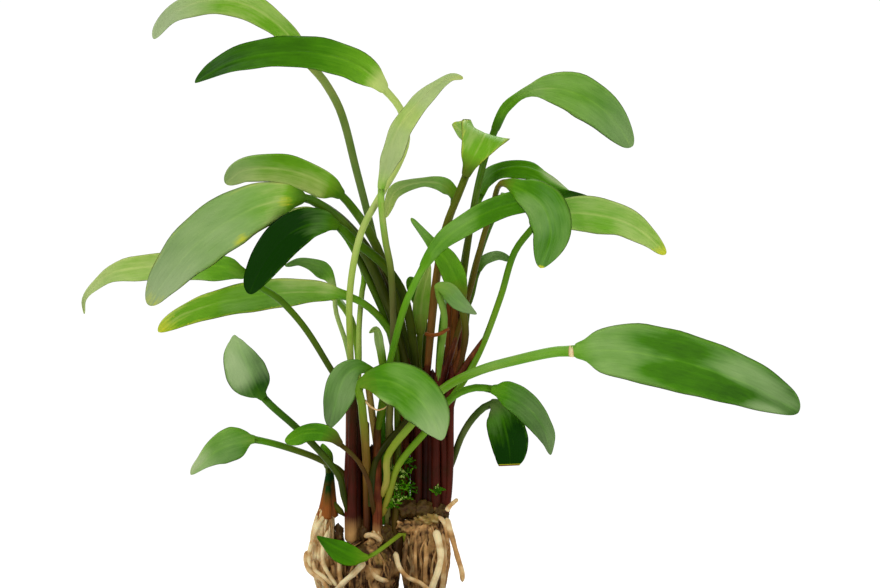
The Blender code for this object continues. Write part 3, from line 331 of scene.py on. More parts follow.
        turn=12, tone=(0.34, 0.34, 0.2), bloom=(-0.1, -0.1, -0.1), stem=(0.66, 0.66, 0.6),
        blush=(0.5, 0.42, 0.25), slot="leaf_dark"),
    "leaf_middle_narrow": Leaf(
        stalk=[(19.2, 113, 1.4), (23, 123, 0), (25.8, 134.8, -2.4)],
        blade=[(24.3, 145.4, -4.4), (22.7, 152.4, -5), (19.5, 158.8, -5.2), (14.4, 164.9, -4.8),
            (8.3, 172.2, -4)],
        outline=[(0, 1.2), (0.12, 2.8), (0.28, 3.8), (0.45, 3.6, 3.5), (0.6, 2.4), (0.72, 1.6), (0.88, 1.1),
            (0.96, 0.8), (1, 0)],
        turn=5, tone=(0.52, 0.5, 0.4), bloom=(0, 0, 0.2), ageing=(0, 0, 0.2), stem=(0.12, 0.15, 0.4),
        blush=(0.85, 0.85, 0.5), slot="leaf_light"),
    "leaf_middle_drooping": Leaf(
        stalk=[(16.4, 112.5, -1.8), (17.6, 127, -4), (19, 140.5, -6)],
        blade=[(17, 149.6, -9.4), (20, 149, -10.8), (24, 145.2, -10.4), (29.4, 141.5, -10)],
        outline=[(0, 1.1), (0.12, 2.2, 1.9), (0.3, 2.9), (0.5, 2.6, 2.9), (0.7, 1.9, 2.2), (0.88, 0.9, 1.1),
            (1, 0)],
        turn=15, tone=(0.46, 0.36, 0.15), bloom=(0.35, 0.35, 0.5), stem=(0.4, 0.48, 0.55),
        blush=(0.2, 0.15, 0.1), film=0.15, slot="leaf_light"),
    "leaf_middle_upright": Leaf(
        stalk=[(12.4, 114.9, 5.9), (10.8, 125, 8.2)],
        blade=[(11.2, 134.8, 10), (11.8, 146, 11), (14.4, 157.5, 11)],
        outline=[(0, 1.1), (0.15, 2), (0.4, 2.8), (0.65, 2.3), (0.85, 1.2), (1, 0)],
        turn=10, tone=(0.66, 0.72, 0.8), bloom=(-0.1, -0.1, -0.1), stem=(0.5, 0.55, 0.55),
        blush=(0.5, 0.4, 0.3), slot="leaf_light"),
    "leaf_middle_hidden": Leaf(
        stalk=[(12.4, 114.5, 8.5), (12.6, 130, 13)],
        blade=[(12.4, 141, 15), (10, 148.4, 15.4), (7.7, 153.4, 15)],
        outline=[(0, 1), (0.2, 1.9), (0.45, 2.3), (0.75, 2.2), (0.9, 1.7), (1, 0)],
        turn=20, tone=(0.48, 0.4, 0.42), bloom=(-0.1, -0.1, -0.1), stem=(0.2, 0.25, 0.3),
        blush=(0.6, 0.5, 0.3), slot="leaf_light"),
    "leaf_small_arch": Leaf(
        stalk=[(16.6, 113.2, 6.6), (17.2, 121, 11.5), (21.4, 134, 17.5), (27.2, 146, 19)],
        blade=[(29.6, 155.4, 19), (32, 158.8, 18), (36.2, 160.4, 16), (40.6, 158.6, 14)],
        outline=[(0, 1), (0.2, 1.6, 1.5), (0.5, 1.7, 1.6), (0.8, 1.4), (0.93, 0.9), (1, 0)],
        turn=35, tone=(0.56, 0.5, 0.25), bloom=(0.4, 0.45, 0.2), stem=(0.15, 0.2, 0.25),
        blush=(0.75, 0.7, 0.3), slot="leaf_dark"),
    "leaf_thin_young": Leaf(
        stalk=[(3, 70.6, 0.6), (2, 100, 3.2), (0, 120, 4)],
        blade=[(-0.6, 124.9, 4.6), (-1.6, 131.6, 5), (-2.8, 136.6, 5.4), (-5.1, 135.4, 5.4)],
        outline=[(0, 1.1), (0.25, 1.4), (0.55, 1.5), (0.8, 1), (1, 0)],
        turn=20, tone=(0.78, 0.76, 0.78), bloom=(0.1, 0.45, 0.2), stem=(0.15, 0.2, 0.5),
        blush=(0.75, 0.55, 0.2), slot="leaf_light"),
    "leaf_plantlet": Leaf(
        stalk=[(-18.2, 83.4, 1.4), (-18, 88, 1.4)],
        blade=[(-18, 92.2, 1.6), (-18.8, 96.4, 1.2), (-20.2, 100, 0.6)],
        outline=[(0, 1.1), (0.2, 1.7), (0.5, 2.1), (0.8, 1.3), (1, 0)],
        turn=10, tone=(0.05, 0.36, 0.55), bloom=(0, 0.15, 0), stem=(0.3, 0.3, 0.3), blush=(0.6, 0.5, 0.4),
        slot="leaf_light"),
    "leaf_back_middle": Leaf(
        stalk=[(16.6, 112.5, 3.6), (17.6, 131, 12), (19, 143, 18)],
        blade=[(19.8, 146.6, 26), (20.2, 147.4, 42), (20.4, 146.4, 60), (20.6, 142.6, 80)],
        outline=[(0, 1.2), (0.08, 3.4), (0.2, 5.8), (0.4, 7), (0.6, 6.2), (0.8, 4), (0.93, 2), (1, 0)],
        turn=0, side=(1, 0, 0), tone=(0.4, 0.5, 0.4), bloom=(0, 0.2, 0.2), stem=(0.35, 0.45, 0.35),
        blush=(0.3, 0.1, 0.1)),
    "leaf_back_left": Leaf(
        stalk=[(-8.9, 115, 2), (-8.6, 128, 8.6), (-11, 140, 16)],
        blade=[(-16, 146.6, 26), (-22, 148.4, 42), (-27, 147.6, 60), (-31, 143.4, 78)],
        outline=[(0, 1.2), (0.08, 3.2), (0.2, 5.4), (0.42, 6.5), (0.6, 5.8), (0.8, 3.8), (0.93, 1.8), (1, 0)],
        turn=0, side=(0.96, 0.28, 0), tone=(0.5, 0.7, 0.6), bloom=(0.1, 0.2, 0.3), stem=(0.45, 0.7, 0.5),
        blush=(0.3, 0.2, 0.2)),
    "leaf_back_low": Leaf(
        stalk=[(6.9, 77.8, 5.4), (7, 92, 7.4), (6.8, 105, 11), (7.4, 112, 18)],
        blade=[(9, 116, 28), (7.4, 117.6, 40), (6.4, 114, 54), (5.8, 106.4, 66)],
        outline=[(0, 1.2), (0.08, 3), (0.22, 5.2), (0.42, 6), (0.62, 5.2), (0.82, 3.2), (0.93, 1.8), (1, 0)],
        turn=0, side=(1, 0, 0), tone=(0.3, 0.3, 0.2), bloom=(0, 0.1, 0.1), stem=(0.45, 0.4, 0.2),
        blush=(1, 0.95, 0.5), slot="leaf_dark"),
    "leaf_back_right": Leaf(
        stalk=[(20, 97, 9.4), (20.5, 109, 12.6), (23.8, 122, 17), (27.4, 150, 23), (33, 169, 28)],
        blade=[(38.2, 177.6, 35), (44.4, 179.6, 48), (49, 176.6, 60), (51.4, 167, 71)],
        outline=[(0, 1.2), (0.08, 3.2), (0.2, 5.4), (0.42, 6.5), (0.6, 5.8), (0.8, 3.8), (0.93, 1.8), (1, 0)],
        turn=0, side=(0.94, -0.34, 0), tone=(0.4, 0.5, 0.4), bloom=(0, 0.25, 0.3), ageing=(0, 0.1, 0.3),
        stem=(0.3, 0.3, 0.35), blush=(0.8, 0.5, 0.2)),
    "leaf_back_upper_left": Leaf(
        stalk=[(0.5, 69.9, 3.2), (3.6, 84, 5.4), (4.6, 104, 8), (3.6, 130, 15), (-3, 158, 21),
            (-12, 170.4, 25)],
        blade=[(-21.6, 177.2, 31), (-32, 179.4, 45), (-40, 177, 60), (-46, 170, 74)],
        outline=[(0, 1.2), (0.08, 3.4), (0.2, 5.8), (0.42, 7), (0.6, 6.2), (0.8, 4), (0.93, 2), (1, 0)],
        turn=0, side=(0.9, 0.44, 0), tone=(0.55, 0.7, 0.55), bloom=(0, 0.2, 0.4), stem=(0.35, 0.08, 0.15),
        blush=(0.95, 0.55, 0.45)),
}

# The columns of sheaths: left_shade and right_shade darken the sheaths from one side of a shoot to the other,
# partly their own colour and partly painted light on the lit side and painted shade on the other; climb is
# how far a sheath goes up its stalk, and foot its least rise, near which it is tan
SHOOTS = {
    "shoot_left": Shoot(-10.0, 0.0, 2.5, 4.2, 69.4, 114.0, 0.25, 0.85, 12, 0.0),
    "shoot_centre": Shoot(-2.4, -2.4, 1.8, 4.6, 69.4, 104.0, 0.15, 0.6, 10, 0.0),
    "shoot_right": Shoot(11.6, 3.2, 2.9, 6.0, 77.4, 114.0, 0.6, 0.95, 30, 0.2),
    "shoot_far_right": Shoot(18.0, 3.2, 2.9, 6.0, 77.4, 112.0, 0.8, 0.4, 45, 0.2),
}

# The crowns of matted roots: lobes is how many bulges go round one, foot and neck are how far it keeps its
# girth at its two ends, and lean is how far both ends lie to the side
CROWNS = {
    "crown_left": Crown(-20.2, 1.5, 5.5, 7.0, 49.9, 82.6, 3, 0.45, 0.32, 2.3, 0.35),
    "crown_centre": Crown(-4.6, -1.6, 8.4, 8.6, 49.9, 69.0, 5, 1.0, 1.0, 0.0, 0.85),
    "crown_right": Crown(12.6, 2.4, 7.6, 8.2, 49.9, 77.0, 4, 0.85, 1.0, 0.0, 0.7),
}

# Lumps, stains and hollows on the front of the crowns: (across, height, half width, half height, bulge, age,
# olive); the dark age of a hollow, whose bulge is below 0, is painted shade
LUMPS = [
    (-18.9, 81, 2.2, 3, 0.3, 0.75, 0), (-20.8, 73, 2, 3.2, 0.9, 0.1, 0),
    (-23.4, 67.6, 2, 4, 0.7, 0.25, 0), (-20.5, 65.4, 1.8, 2.4, 1.2, 0.15, 0),
    (-17.3, 60.6, 2.2, 3, 1, 0.55, 0), (-23.7, 61.5, 2, 2.2, 0.8, 0.4, 0),
    (-20.2, 57.6, 2, 1.8, 0.9, 0.5, 0), (-16.4, 72, 1.4, 4, -0.4, 0.95, 0.2),
    (-14.4, 56.4, 2.2, 2.4, 0.8, 0.4, 0), (13.8, 76.4, 4, 1.6, 1.2, 0.3, 0.75),
    (6.4, 73.7, 3.2, 1.7, 1.4, 0.5, 0.1), (9.6, 80.2, 6, 2.2, 0.2, 1.1, 0.5),
    (17.6, 79.4, 2.4, 2.2, 0.6, 0.8, 0.3), (14.6, 69, 2.6, 3.6, 0.6, 0.55, 0.1),
    # These two are painted shade in the hollows at the left of the right crown, where it meets the centre
    # crown
    (9.2, 64, 3.4, 5, 0.2, 0.95, 0.1), (4.6, 67.4, 1.8, 2.8, -0.8, 1.25, 0.2),
    (18.6, 62, 1.8, 6, 0.4, 0.5, 0), (-3.2, 70.3, 2.6, 2.2, 1.4, 0.4, 0.15),
    (0.2, 69, 2, 2, -0.2, 1, 0.5), (-1.6, 64, 2.2, 2, 0.4, 0.6, 0.4),
    (-4.6, 59.6, 2.8, 2, 1.2, 0.45, 0), (3.2, 60.4, 2.6, 2.6, 0.8, 0.6, 0),
    (-1.4, 54.6, 4, 2.4, 0.6, 0.75, 0), (-8.2, 66, 1.8, 3, -0.6, 1.2, 0.2),
]

# The mat where the crowns meet each other and the shoots: (crown, place, half sizes, age, olive)
MATS = [
    ("crown_right", (3.6, 0.8, 71), (3, 4.4, 10.5), 1.25, 0.1),
    ("crown_right", (7.6, -0.4, 79.4), (4.4, 4.2, 3.2), 1.25, 0.16),
    ("crown_right", (12.2, 0, 79), (4.6, 4.4, 3.6), 1.25, 0.2),
    ("crown_right", (13.8, -2.4, 76.2), (4, 3.2, 1.9), 0.45, 0.6),
    ("crown_right", (17.8, -0.8, 78), (2.8, 3, 3.2), 1, 0.15),
    ("crown_right", (6.4, -2.6, 73.6), (3.6, 2.8, 2.1), 0.6, 0.05),
    ("crown_centre", (-6.4, -0.8, 71.4), (1.9, 4.2, 4.6), 1.3, 0.1),
    ("crown_centre", (-3.1, -5.8, 69.8), (2.7, 2.4, 2.7), 0.5, 0.1),
    ("crown_centre", (0.2, -3.4, 70.8), (2.4, 3.2, 3.6), 1.2, 0.25),
    ("crown_left", (-14.4, -1.8, 58.4), (3.2, 4.4, 7.6), 0.6, 0),
    ("crown_left", (-14.8, 0.8, 69.4), (1.6, 3, 5), 1.1, 0.1),
]

# The thick roots that stand clear of the crowns
ROOTS = {
    "root_front_left": Root(
        [(-6.4, 62.4, -11.8), (-9.6, 58.8, -12.4), (-12.6, 56.2, -12), (-17, 51.4, -9)], 2.1, 1.7),
    "root_front_right": Root(
        [(3.2, 65.6, -9.8), (4.6, 60.4, -10), (7.4, 57.2, -11), (11.6, 55.2, -12), (15.2, 51.6, -11)],
        1.7, 1.4),
    "root_right_pale": Root(
        [(16.2, 72.6, -7), (17.8, 65, -8.4), (17.2, 60.2, -8.8), (15.4, 55, -9), (14.2, 51.4, -8)], 2.3, 1.9),
    "root_right_loose": Root(
        [(19.6, 76.4, -3.6), (21.4, 70.4, -6), (23.2, 63.8, -7.4), (24.6, 59, -8), (24.8, 55.6, -8)],
        1.9, 1.5),
    "root_stub": Root([(19.6, 78.4, -4.4), (20.9, 80.2, -5.4), (23.4, 82.4, -6.4)], 1.7, 1.2),
    "root_left_outer": Root(
        [(-24.6, 66, -4.6), (-25.2, 62.6, -4.8), (-23.8, 59, -5.6), (-20, 56.4, -7), (-17.8, 51.8, -7.4)],
        1.9, 1.5),
}


def linear(colour):
    """An sRGB hex colour as linear red, green and blue."""
    parts = [int(colour[i : i + 2], 16) / 255 for i in (1, 3, 5)]
    return tuple(c / 12.92 if c <= 0.04045 else ((c + 0.055) / 1.055) ** 2.4 for c in parts)


def size(label, about, value):
    return FloatProperty(
        name=label, description=about, default=value * MM, min=0.0, unit="LENGTH", precision=5)


def power(label, about, value):
    return FloatProperty(name=label, description=about, default=value, min=0.0, unit="POWER")


def share(label, about, value):
    return FloatProperty(name=label, description=about, default=value, min=0.0, max=1.0, subtype="FACTOR")


def tint(label, about, value):
    return FloatVectorProperty(
        name=label, description=about, default=linear(value), size=3, min=0.0, max=1.0, subtype="COLOR")


class PlantSizes(bpy.types.PropertyGroup):
    """Sizes of the plant's leaves, sheaths and roots"""

    stalk_foot: size("Stalk foot", "Width of a leaf stalk where it leaves its sheath", 2.0)
    neck: size("Neck", "Length over which a round stalk flattens into its blade", 8.0)
    blade: size("Blade thickness", "Thickness of a blade beside its midrib", 0.34)
    rib: size("Midrib", "Width of the midrib at a blade's base", 1.3)
    sheath: size("Sheath", "Width of a leaf sheath at its foot", 3.1)
    fine_root: size("Fine root", "Width of the fine roots that mat the crowns", 0.85)
    fibre: size("Fibre", "Width of the fibres in the growing medium", 0.28)
    fine_roots: IntProperty(name="Fine roots", description="Fine roots on each crown", default=70, min=0)
    fibres: IntProperty(name="Fibres", description="Loose fibres on the growing medium", default=420, min=0)


class PlantColours(bpy.types.PropertyGroup):
    """Colours of the plant and its pot"""

    deep: tint("Deep green", "The darkest green of a shaded blade", "#0c3200")
    grown: tint("Grown green", "The green of a full-grown blade", "#427c02")
    fresh: tint("Fresh green", "The green of a young blade", "#6ca41c")
    pale: tint("Pale green", "The yellow-green of a young stalk and of the midribs", "#b9cd6c")
    # Painted sheen: the grey-green that stands for the bright room's reflection on a blade
    bloom: tint("Waxy bloom", "The grey-green film on a blade", "#a8ba8a")
    yellow: tint("Yellowing", "Where a blade ages", "#c9cc2c")
    dry: tint("Dried tip", "Where a blade has dried", "#6e4a1c")
    blush_dark: tint("Dark blush", "The blackish brown of the darkest stalks", "#2a1002")
    blush: tint("Stalk blush", "The reddish brown in the stalks", "#5e3010")
    blush_light: tint("Light blush", "The orange brown of the lightest stalks", "#96602c")
    sheath_light: tint("Young sheath", "The orange brown of the lightest sheaths", "#8a4e1e")
    sheath: tint("Sheath", "The wine red of the sheaths", "#501c10")
    # The nearly black end of the sheaths is partly painted shade, on the side of a shoot away from the light
    sheath_dark: tint("Sheath shade", "The darkest part of the sheaths", "#1a0402")
    root: tint("Pale root", "The cream of the young roots", "#e6d3a2")
    root_tan: tint("Tan root", "The tan of the older roots", "#b98d55")
    root_brown: tint("Root mat", "The brown between the roots", "#3f240a")
    root_olive: tint("Olive stain", "Where the sun has greened a root", "#6b6212")
    pot: tint("Pot", "The pot's plastic", "#1b1c1e")
    fibre: tint("Fibre", "The light fibres of the growing medium", "#9a7346")
    fibre_dark: tint("Damp fibre", "The damp fibres of the growing medium", "#3a2615")


class StageSettings(bpy.types.PropertyGroup):
    """The floor, the light and the camera"""

    floor: FloatProperty(name="Floor", description="Radius of the floor", default=1.2, min=1.0, unit="LENGTH")
    ground: tint("Floor colour", "The pale floor", "#f4f4f2")
    glow: share("Floor glow", "How much light comes through the floor", 0.3)
    key: power("Key light", "Power of the large light at the front left", 13.2)
    fill: power("Fill light", "Power of the light at the front right", 4.5)
    back: power("Top light", "Power of the light above and behind", 12.0)
    sky: share("Sky", "How much light comes from all round", 0.45)


def seen_from_front(across, height, depth):
    """The place of a point that appears at (across, height) from the front and lies this far back."""
    reach = 1 + depth / VIEW_DISTANCE
    return Vector((VIEW_X + (across - VIEW_X) * reach, depth, VIEW_Z + (height - VIEW_Z) * reach))


PATH_STEPS = 8


def smooth_path(points, steps=PATH_STEPS):
    """A dense smooth curve through the points, with this many steps between two of them."""
    times = [0.0]
    for start, end in zip(points, points[1:]):
        times.append(times[-1] + (end - start).length)
    last = len(points) - 1
    slopes = []
    for i in range(len(points)):
        before, after = max(i - 1, 0), min(i + 1, last)
        slopes.append((points[after] - points[before]) / (times[after] - times[before]))
    path = [points[0].copy()]
    for i in range(last):
        span = times[i + 1] - times[i]
        for step in range(1, steps + 1):
            t = step / steps
            path.append(
                points[i] * (2 * t**3 - 3 * t**2 + 1)
                + slopes[i] * (span * (t**3 - 2 * t**2 + t))
                + points[i + 1] * (3 * t**2 - 2 * t**3)
                + slopes[i + 1] * (span * (t**3 - t**2))
            )
    return path


def route_path(route):
    """The smooth curve through points that are given as seen from the front."""
    return smooth_path([seen_from_front(*point) for point in route])


def at_fractions(path, fractions):
    """The points at these rising fractions of the path's length."""
    lengths = [0.0]
    for start, end in zip(path, path[1:]):
        lengths.append(lengths[-1] + (end - start).length)
    found = []
    i = 0
    for fraction in fractions:
        target = fraction * lengths[-1]
        while i < len(path) - 2 and lengths[i + 1] < target:
            i += 1
        gap = lengths[i + 1] - lengths[i]
        found.append(path[i].lerp(path[i + 1], (target - lengths[i]) / gap))
    return found


def evenly(count):
    return [i / count for i in range(count + 1)]


def path_length(path):
    return sum((end - start).length for start, end in zip(path, path[1:]))


def smooth_step(t):
    t = min(max(t, 0.0), 1.0)
    return t * t * (3 - 2 * t)


def blend(values, s):
    """The value at s between a start, a middle and an end value; a single number holds all along."""
    if isinstance(values, (int, float)):
        return values
    first, middle, last = values
    if s < 0.5:
        return first + (middle - first) * smooth_step(s * 2)
    return middle + (last - middle) * smooth_step(s * 2 - 1)


def reach_at(outline, s, which):
    """How far the blade reaches above (1) or below (-1) its midrib, smoothly and within the outline's points.

    Stations are spaced by angle, so that a blade ends round where its outline ends wide."""
    def spread(fraction):
        return 2 / math.pi * math.asin(math.sqrt(min(max(fraction, 0.0), 1.0)))

    places = [spread(row[0]) for row in outline]
    values = [row[which] for row in outline]
    x = spread(s)
    i = 0
    while i < len(places) - 2 and places[i + 1] < x:
        i += 1
    rises = [(b - a) / (d - c) for a, b, c, d in zip(values, values[1:], places, places[1:])]

    def slope(k):
        if k == 0:
            return rises[0]
        if k == len(values) - 1:
            return rises[-1]
        before, after = rises[k - 1], rises[k]
        return 0.0 if before * after <= 0 else 2 * before * after / (before + after)

    gap = places[i + 1] - places[i]
    t = (x - places[i]) / gap
    return (
        values[i] * (2 * t**3 - 3 * t**2 + 1)
        + slope(i) * gap * (t**3 - 2 * t**2 + t)
        + values[i + 1] * (3 * t**2 - 2 * t**3)
        + slope(i + 1) * gap * (t**3 - t**2)
    )


def carried_directions(centres):
    """Two directions square to the path at each centre, carried along it without twisting."""
    found = []
    across = None
    for i in range(len(centres)):
        tangent = (centres[min(i + 1, len(centres) - 1)] - centres[max(i - 1, 0)]).normalized()
        if across is None:
            across = tangent.orthogonal().normalized()
        across = (across - tangent * across.dot(tangent)).normalized()
        found.append((across, tangent.cross(across)))
    return found


def body_with(keys):
    """An empty bmesh that keeps these values at its points; skin is a place on a leaf, the rest numbers."""
    body = bmesh.new()
    for key in keys:
        (body.verts.layers.float_vector if key == "skin" else body.verts.layers.float).new(key)
    return body


def spun(profile, steps):
    """A bmesh of a (radius, height) profile turned once round the pot's axis."""
    body = bmesh.new()
    verts = [body.verts.new((radius * MM, 0, height * MM)) for radius, height in profile]
    edges = [body.edges.new(pair) for pair in zip(verts, verts[1:])]
    bmesh.ops.spin(
        body, geom=verts + edges, axis=(0, 0, 1), cent=(0, 0, 0), steps=steps, angle=math.tau, use_merge=True)
    bmesh.ops.remove_doubles(body, verts=body.verts, dist=1e-6)
    return body


def piece_from(name, body, finish, sharp_turn=180):
    """Turns a bmesh into a piece with this finish, smooth except where it turns sharply, and frees it."""
    bmesh.ops.recalc_face_normals(body, faces=body.faces)
    mesh = bpy.data.meshes.new(name)
    body.to_mesh(mesh)
    body.free()
    mesh.shade_smooth()
    if sharp_turn < 180:
        mesh.set_sharp_from_angle(angle=math.radians(sharp_turn))
    mesh.materials.append(finish)
    piece = bpy.data.objects.new(name, mesh)
    bpy.context.scene.collection.objects.link(piece)
    return piece


def grow(piece, slot, *nodes):
    """Settles a finished piece: it rides with the plant and stands for these solids."""
    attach(piece, "root")
    if nodes:
        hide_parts(*nodes)


def add(tree, kind, inputs=None, stops=(), **settings):
    """Adds a node of this kind; inputs gives its sockets a value, or another node's output to link.

    Stops are the (place, colour) stops of a colour ramp."""
    node = tree.nodes.new(kind)
    for key, value in settings.items():
        setattr(node, key, value)
    for key, value in (inputs or {}).items():
        socket = node.inputs[key]
        if isinstance(value, bpy.types.NodeSocket):
            tree.links.new(value, socket)
        elif socket.type == "RGBA":
            socket.default_value = (*value, 1)
        else:
            socket.default_value = value
    for i, (place, colour) in enumerate(stops):
        elements = node.color_ramp.elements
        element = elements[i] if i < 2 else elements.new(place)
        element.position, element.color = place, (*colour, 1)
    return node


# What the materials read at a piece's points: a leaf's place along and across, its share of the way to the
# margin, and its colours, which carry painted light, shade and sheen; and a sheath's rise, from foot to top,
# its shade, which is partly painted shade, and how green it is
LEAF_VALUES = ("skin", "share", "tone", "bloom", "ageing", "blush")
SHEATH_VALUES = ("rise", "shade", "greening")
VEINS_A_SIDE = 4


def start_material(name, roughness, specular):
    """A new material with a Principled shader; returns it, its tree and its shader."""
    made = bpy.data.materials.new(name)
    made.use_nodes = True
    tree = made.node_tree
    shader = tree.nodes["Principled BSDF"]
    shader.inputs["Roughness"].default_value = roughness
    shader.inputs["Specular IOR Level"].default_value = specular
    return made, tree, shader


def use(tree, shader, **outputs):
    """Links these outputs to the shader: colour, rough and bump."""
    sockets = {"colour": "Base Color", "rough": "Roughness", "bump": "Normal"}
    for key, output in outputs.items():
        tree.links.new(output, shader.inputs[sockets[key]])


def leaf_skin(name, lift, specular, roughness):
    """Living leaf: a waxy skin over soft tissue, smooth and half glossy, with long faint veins.

    The eye gets green streaks along the veins, a grey-green painted sheen in patches, standing for the
    reflection of the bright room, yellow and dry margins where the leaf ages, and reddish stalks. Lift makes
    the whole leaf lighter, as painted light, or darker, as painted shade."""
    colours = bpy.context.scene.plant_colours
    made, tree, shader = start_material(name, roughness, specular)
    place = add(tree, "ShaderNodeAttribute", attribute_name="skin").outputs["Vector"]
    along, span, _ = add(tree, "ShaderNodeSeparateXYZ", {0: place}).outputs
    partway, tone, bloom, ageing, blush = (
        add(tree, "ShaderNodeAttribute", attribute_name=key).outputs["Fac"] for key in LEAF_VALUES[1:])

    # Streaks 7 mm by 0.7 mm along the veins, blotches 4 mm by 2 mm, and clouds 16 mm by 7 mm
    streaks, blotches, clouds = (
        add(tree, "ShaderNodeTexNoise", {
            "Vector": add(
                tree, "ShaderNodeVectorMath", {0: place, 1: (1 / length, 1 / width, 1.0)},
                operation="MULTIPLY").outputs[0],
            "Scale": 1.0, "Detail": detail}).outputs["Fac"]
        for length, width, detail in ((7.0, 0.7, 4.0), (4.0, 2.0, 3.0), (16.0, 7.0, 2.0))
    )
    fine = add(tree, "ShaderNodeMath", {0: streaks, 1: blotches}, operation="ADD").outputs[0]
    fine = add(
        tree, "ShaderNodeMath", {0: fine, 1: 0.17, 2: lift - 0.17}, operation="MULTIPLY_ADD").outputs[0]
    cloudy = add(tree, "ShaderNodeMath", {0: clouds, 1: 0.3, 2: -0.15}, operation="MULTIPLY_ADD").outputs[0]
    uneven = add(tree, "ShaderNodeMath", {0: fine, 1: cloudy}, operation="ADD").outputs[0]
    level = add(tree, "ShaderNodeMath", {0: tone, 1: uneven}, operation="ADD").outputs[0]

    # Side veins run from base to tip, thin and faint, beside the midrib, which is 0.5 mm wide
    wave = add(
        tree, "ShaderNodeMath", {0: partway, 1: math.pi * VEINS_A_SIDE}, operation="MULTIPLY").outputs[0]
    crest = add(tree, "ShaderNodeMath", {0: wave}, operation="COSINE").outputs[0]
    veins = add(tree, "ShaderNodeMath", {0: crest, 1: 28.0}, operation="POWER").outputs[0]
    off_rib = add(tree, "ShaderNodeMath", {0: span}, operation="ABSOLUTE").outputs[0]
    rib = add(
        tree, "ShaderNodeMapRange", {"Value": off_rib, 1: 0.15, 2: 0.6, 3: 0.08, 4: 0.0},
        interpolation_type="SMOOTHSTEP").outputs["Result"]
    on_blade = add(tree, "ShaderNodeMapRange", {"Value": along, 1: 2.0, 2: 9.0}).outputs["Result"]
    lines = add(tree, "ShaderNodeMath", {0: veins, 1: 0.015, 2: rib}, operation="MULTIPLY_ADD").outputs[0]
    veined = add(
        tree, "ShaderNodeMath", {0: lines, 1: on_blade, 2: level}, operation="MULTIPLY_ADD").outputs[0]
    green = add(
        tree, "ShaderNodeValToRGB", {"Fac": veined},
        stops=((0.0, colours.deep), (1.0, colours.pale), (0.4, colours.grown), (0.72, colours.fresh)),
    ).outputs["Color"]

    # The painted sheen, standing for the reflection of the bright room, lies in patches with soft edges
    patches = add(tree, "ShaderNodeMath", {0: clouds, 1: 0.5, 2: bloom}, operation="MULTIPLY_ADD").outputs[0]
    patches = add(
        tree, "ShaderNodeMath", {0: streaks, 1: 0.14, 2: patches}, operation="MULTIPLY_ADD").outputs[0]
    film = add(
        tree, "ShaderNodeMapRange", {"Value": patches, 1: 0.37, 2: 1.32, 3: 0.0, 4: 0.95}).outputs["Result"]
    sheened = add(tree, "ShaderNodeMix", {0: film, 6: green, 7: colours.bloom}, data_type="RGBA").outputs[2]

    # Yellow where it ages, brown where it has dried, and pale specks under a millimetre wide
    age = add(tree, "ShaderNodeMath", {0: streaks, 1: 0.9, 2: ageing}, operation="MULTIPLY_ADD").outputs[0]
    yellow = add(
        tree, "ShaderNodeMapRange", {"Value": age, 1: 0.65, 2: 1.2, 3: 0.0, 4: 0.85}).outputs["Result"]
    aged = add(tree, "ShaderNodeMix", {0: yellow, 6: sheened, 7: colours.yellow}, data_type="RGBA").outputs[2]
    dry = add(tree, "ShaderNodeMapRange", {"Value": age, 1: 1.4, 2: 1.6}).outputs["Result"]
    dried = add(tree, "ShaderNodeMix", {0: dry, 6: aged, 7: colours.dry}, data_type="RGBA").outputs[2]
    cells = add(tree, "ShaderNodeTexVoronoi", {"Vector": place, "Scale": 0.55}).outputs["Distance"]
    speck = add(
        tree, "ShaderNodeMapRange", {"Value": cells, 1: 0.1, 2: 0.17, 3: 1.0, 4: 0.0}).outputs["Result"]
    where = add(tree, "ShaderNodeMapRange", {"Value": ageing, 1: 0.12, 2: 0.35}).outputs["Result"]
    speck = add(tree, "ShaderNodeMath", {0: speck, 1: where}, operation="MULTIPLY").outputs[0]
    specked = add(tree, "ShaderNodeMix", {0: speck, 6: dried, 7: colours.yellow}, data_type="RGBA").outputs[2]

    # The stalk's blush is nearly black on a dark stalk and orange-brown on a light one
    brown = add(
        tree, "ShaderNodeValToRGB", {"Fac": level},
        stops=((0.0, colours.blush_dark), (0.8, colours.blush_light), (0.4, colours.blush)),
    ).outputs["Color"]
    blotted = add(
        tree, "ShaderNodeMath", {0: fine, 1: 1.2, 2: blush}, operation="MULTIPLY_ADD", use_clamp=True,
    ).outputs[0]
    on_stalk = add(tree, "ShaderNodeMath", {0: blush, 1: 0.02}, operation="GREATER_THAN").outputs[0]
    amount = add(tree, "ShaderNodeMath", {0: blotted, 1: on_stalk}, operation="MULTIPLY").outputs[0]
    blushed = add(tree, "ShaderNodeMix", {0: amount, 6: specked, 7: brown}, data_type="RGBA").outputs[2]

    # The veins lie a little below the skin, which is rougher where its streaks are lighter
    rough = add(tree, "ShaderNodeMath", {0: fine, 1: 0.5, 2: roughness}, operation="MULTIPLY_ADD").outputs[0]
    height = add(tree, "ShaderNodeMath", {0: veins, 1: -0.6, 2: fine}, operation="MULTIPLY_ADD").outputs[0]
    bump = add(tree, "ShaderNodeBump", {"Height": height, "Distance": 0.08 * MM, "Strength": 0.8}).outputs[0]
    use(tree, shader, colour=blushed, rough=rough, bump=bump)
    return made


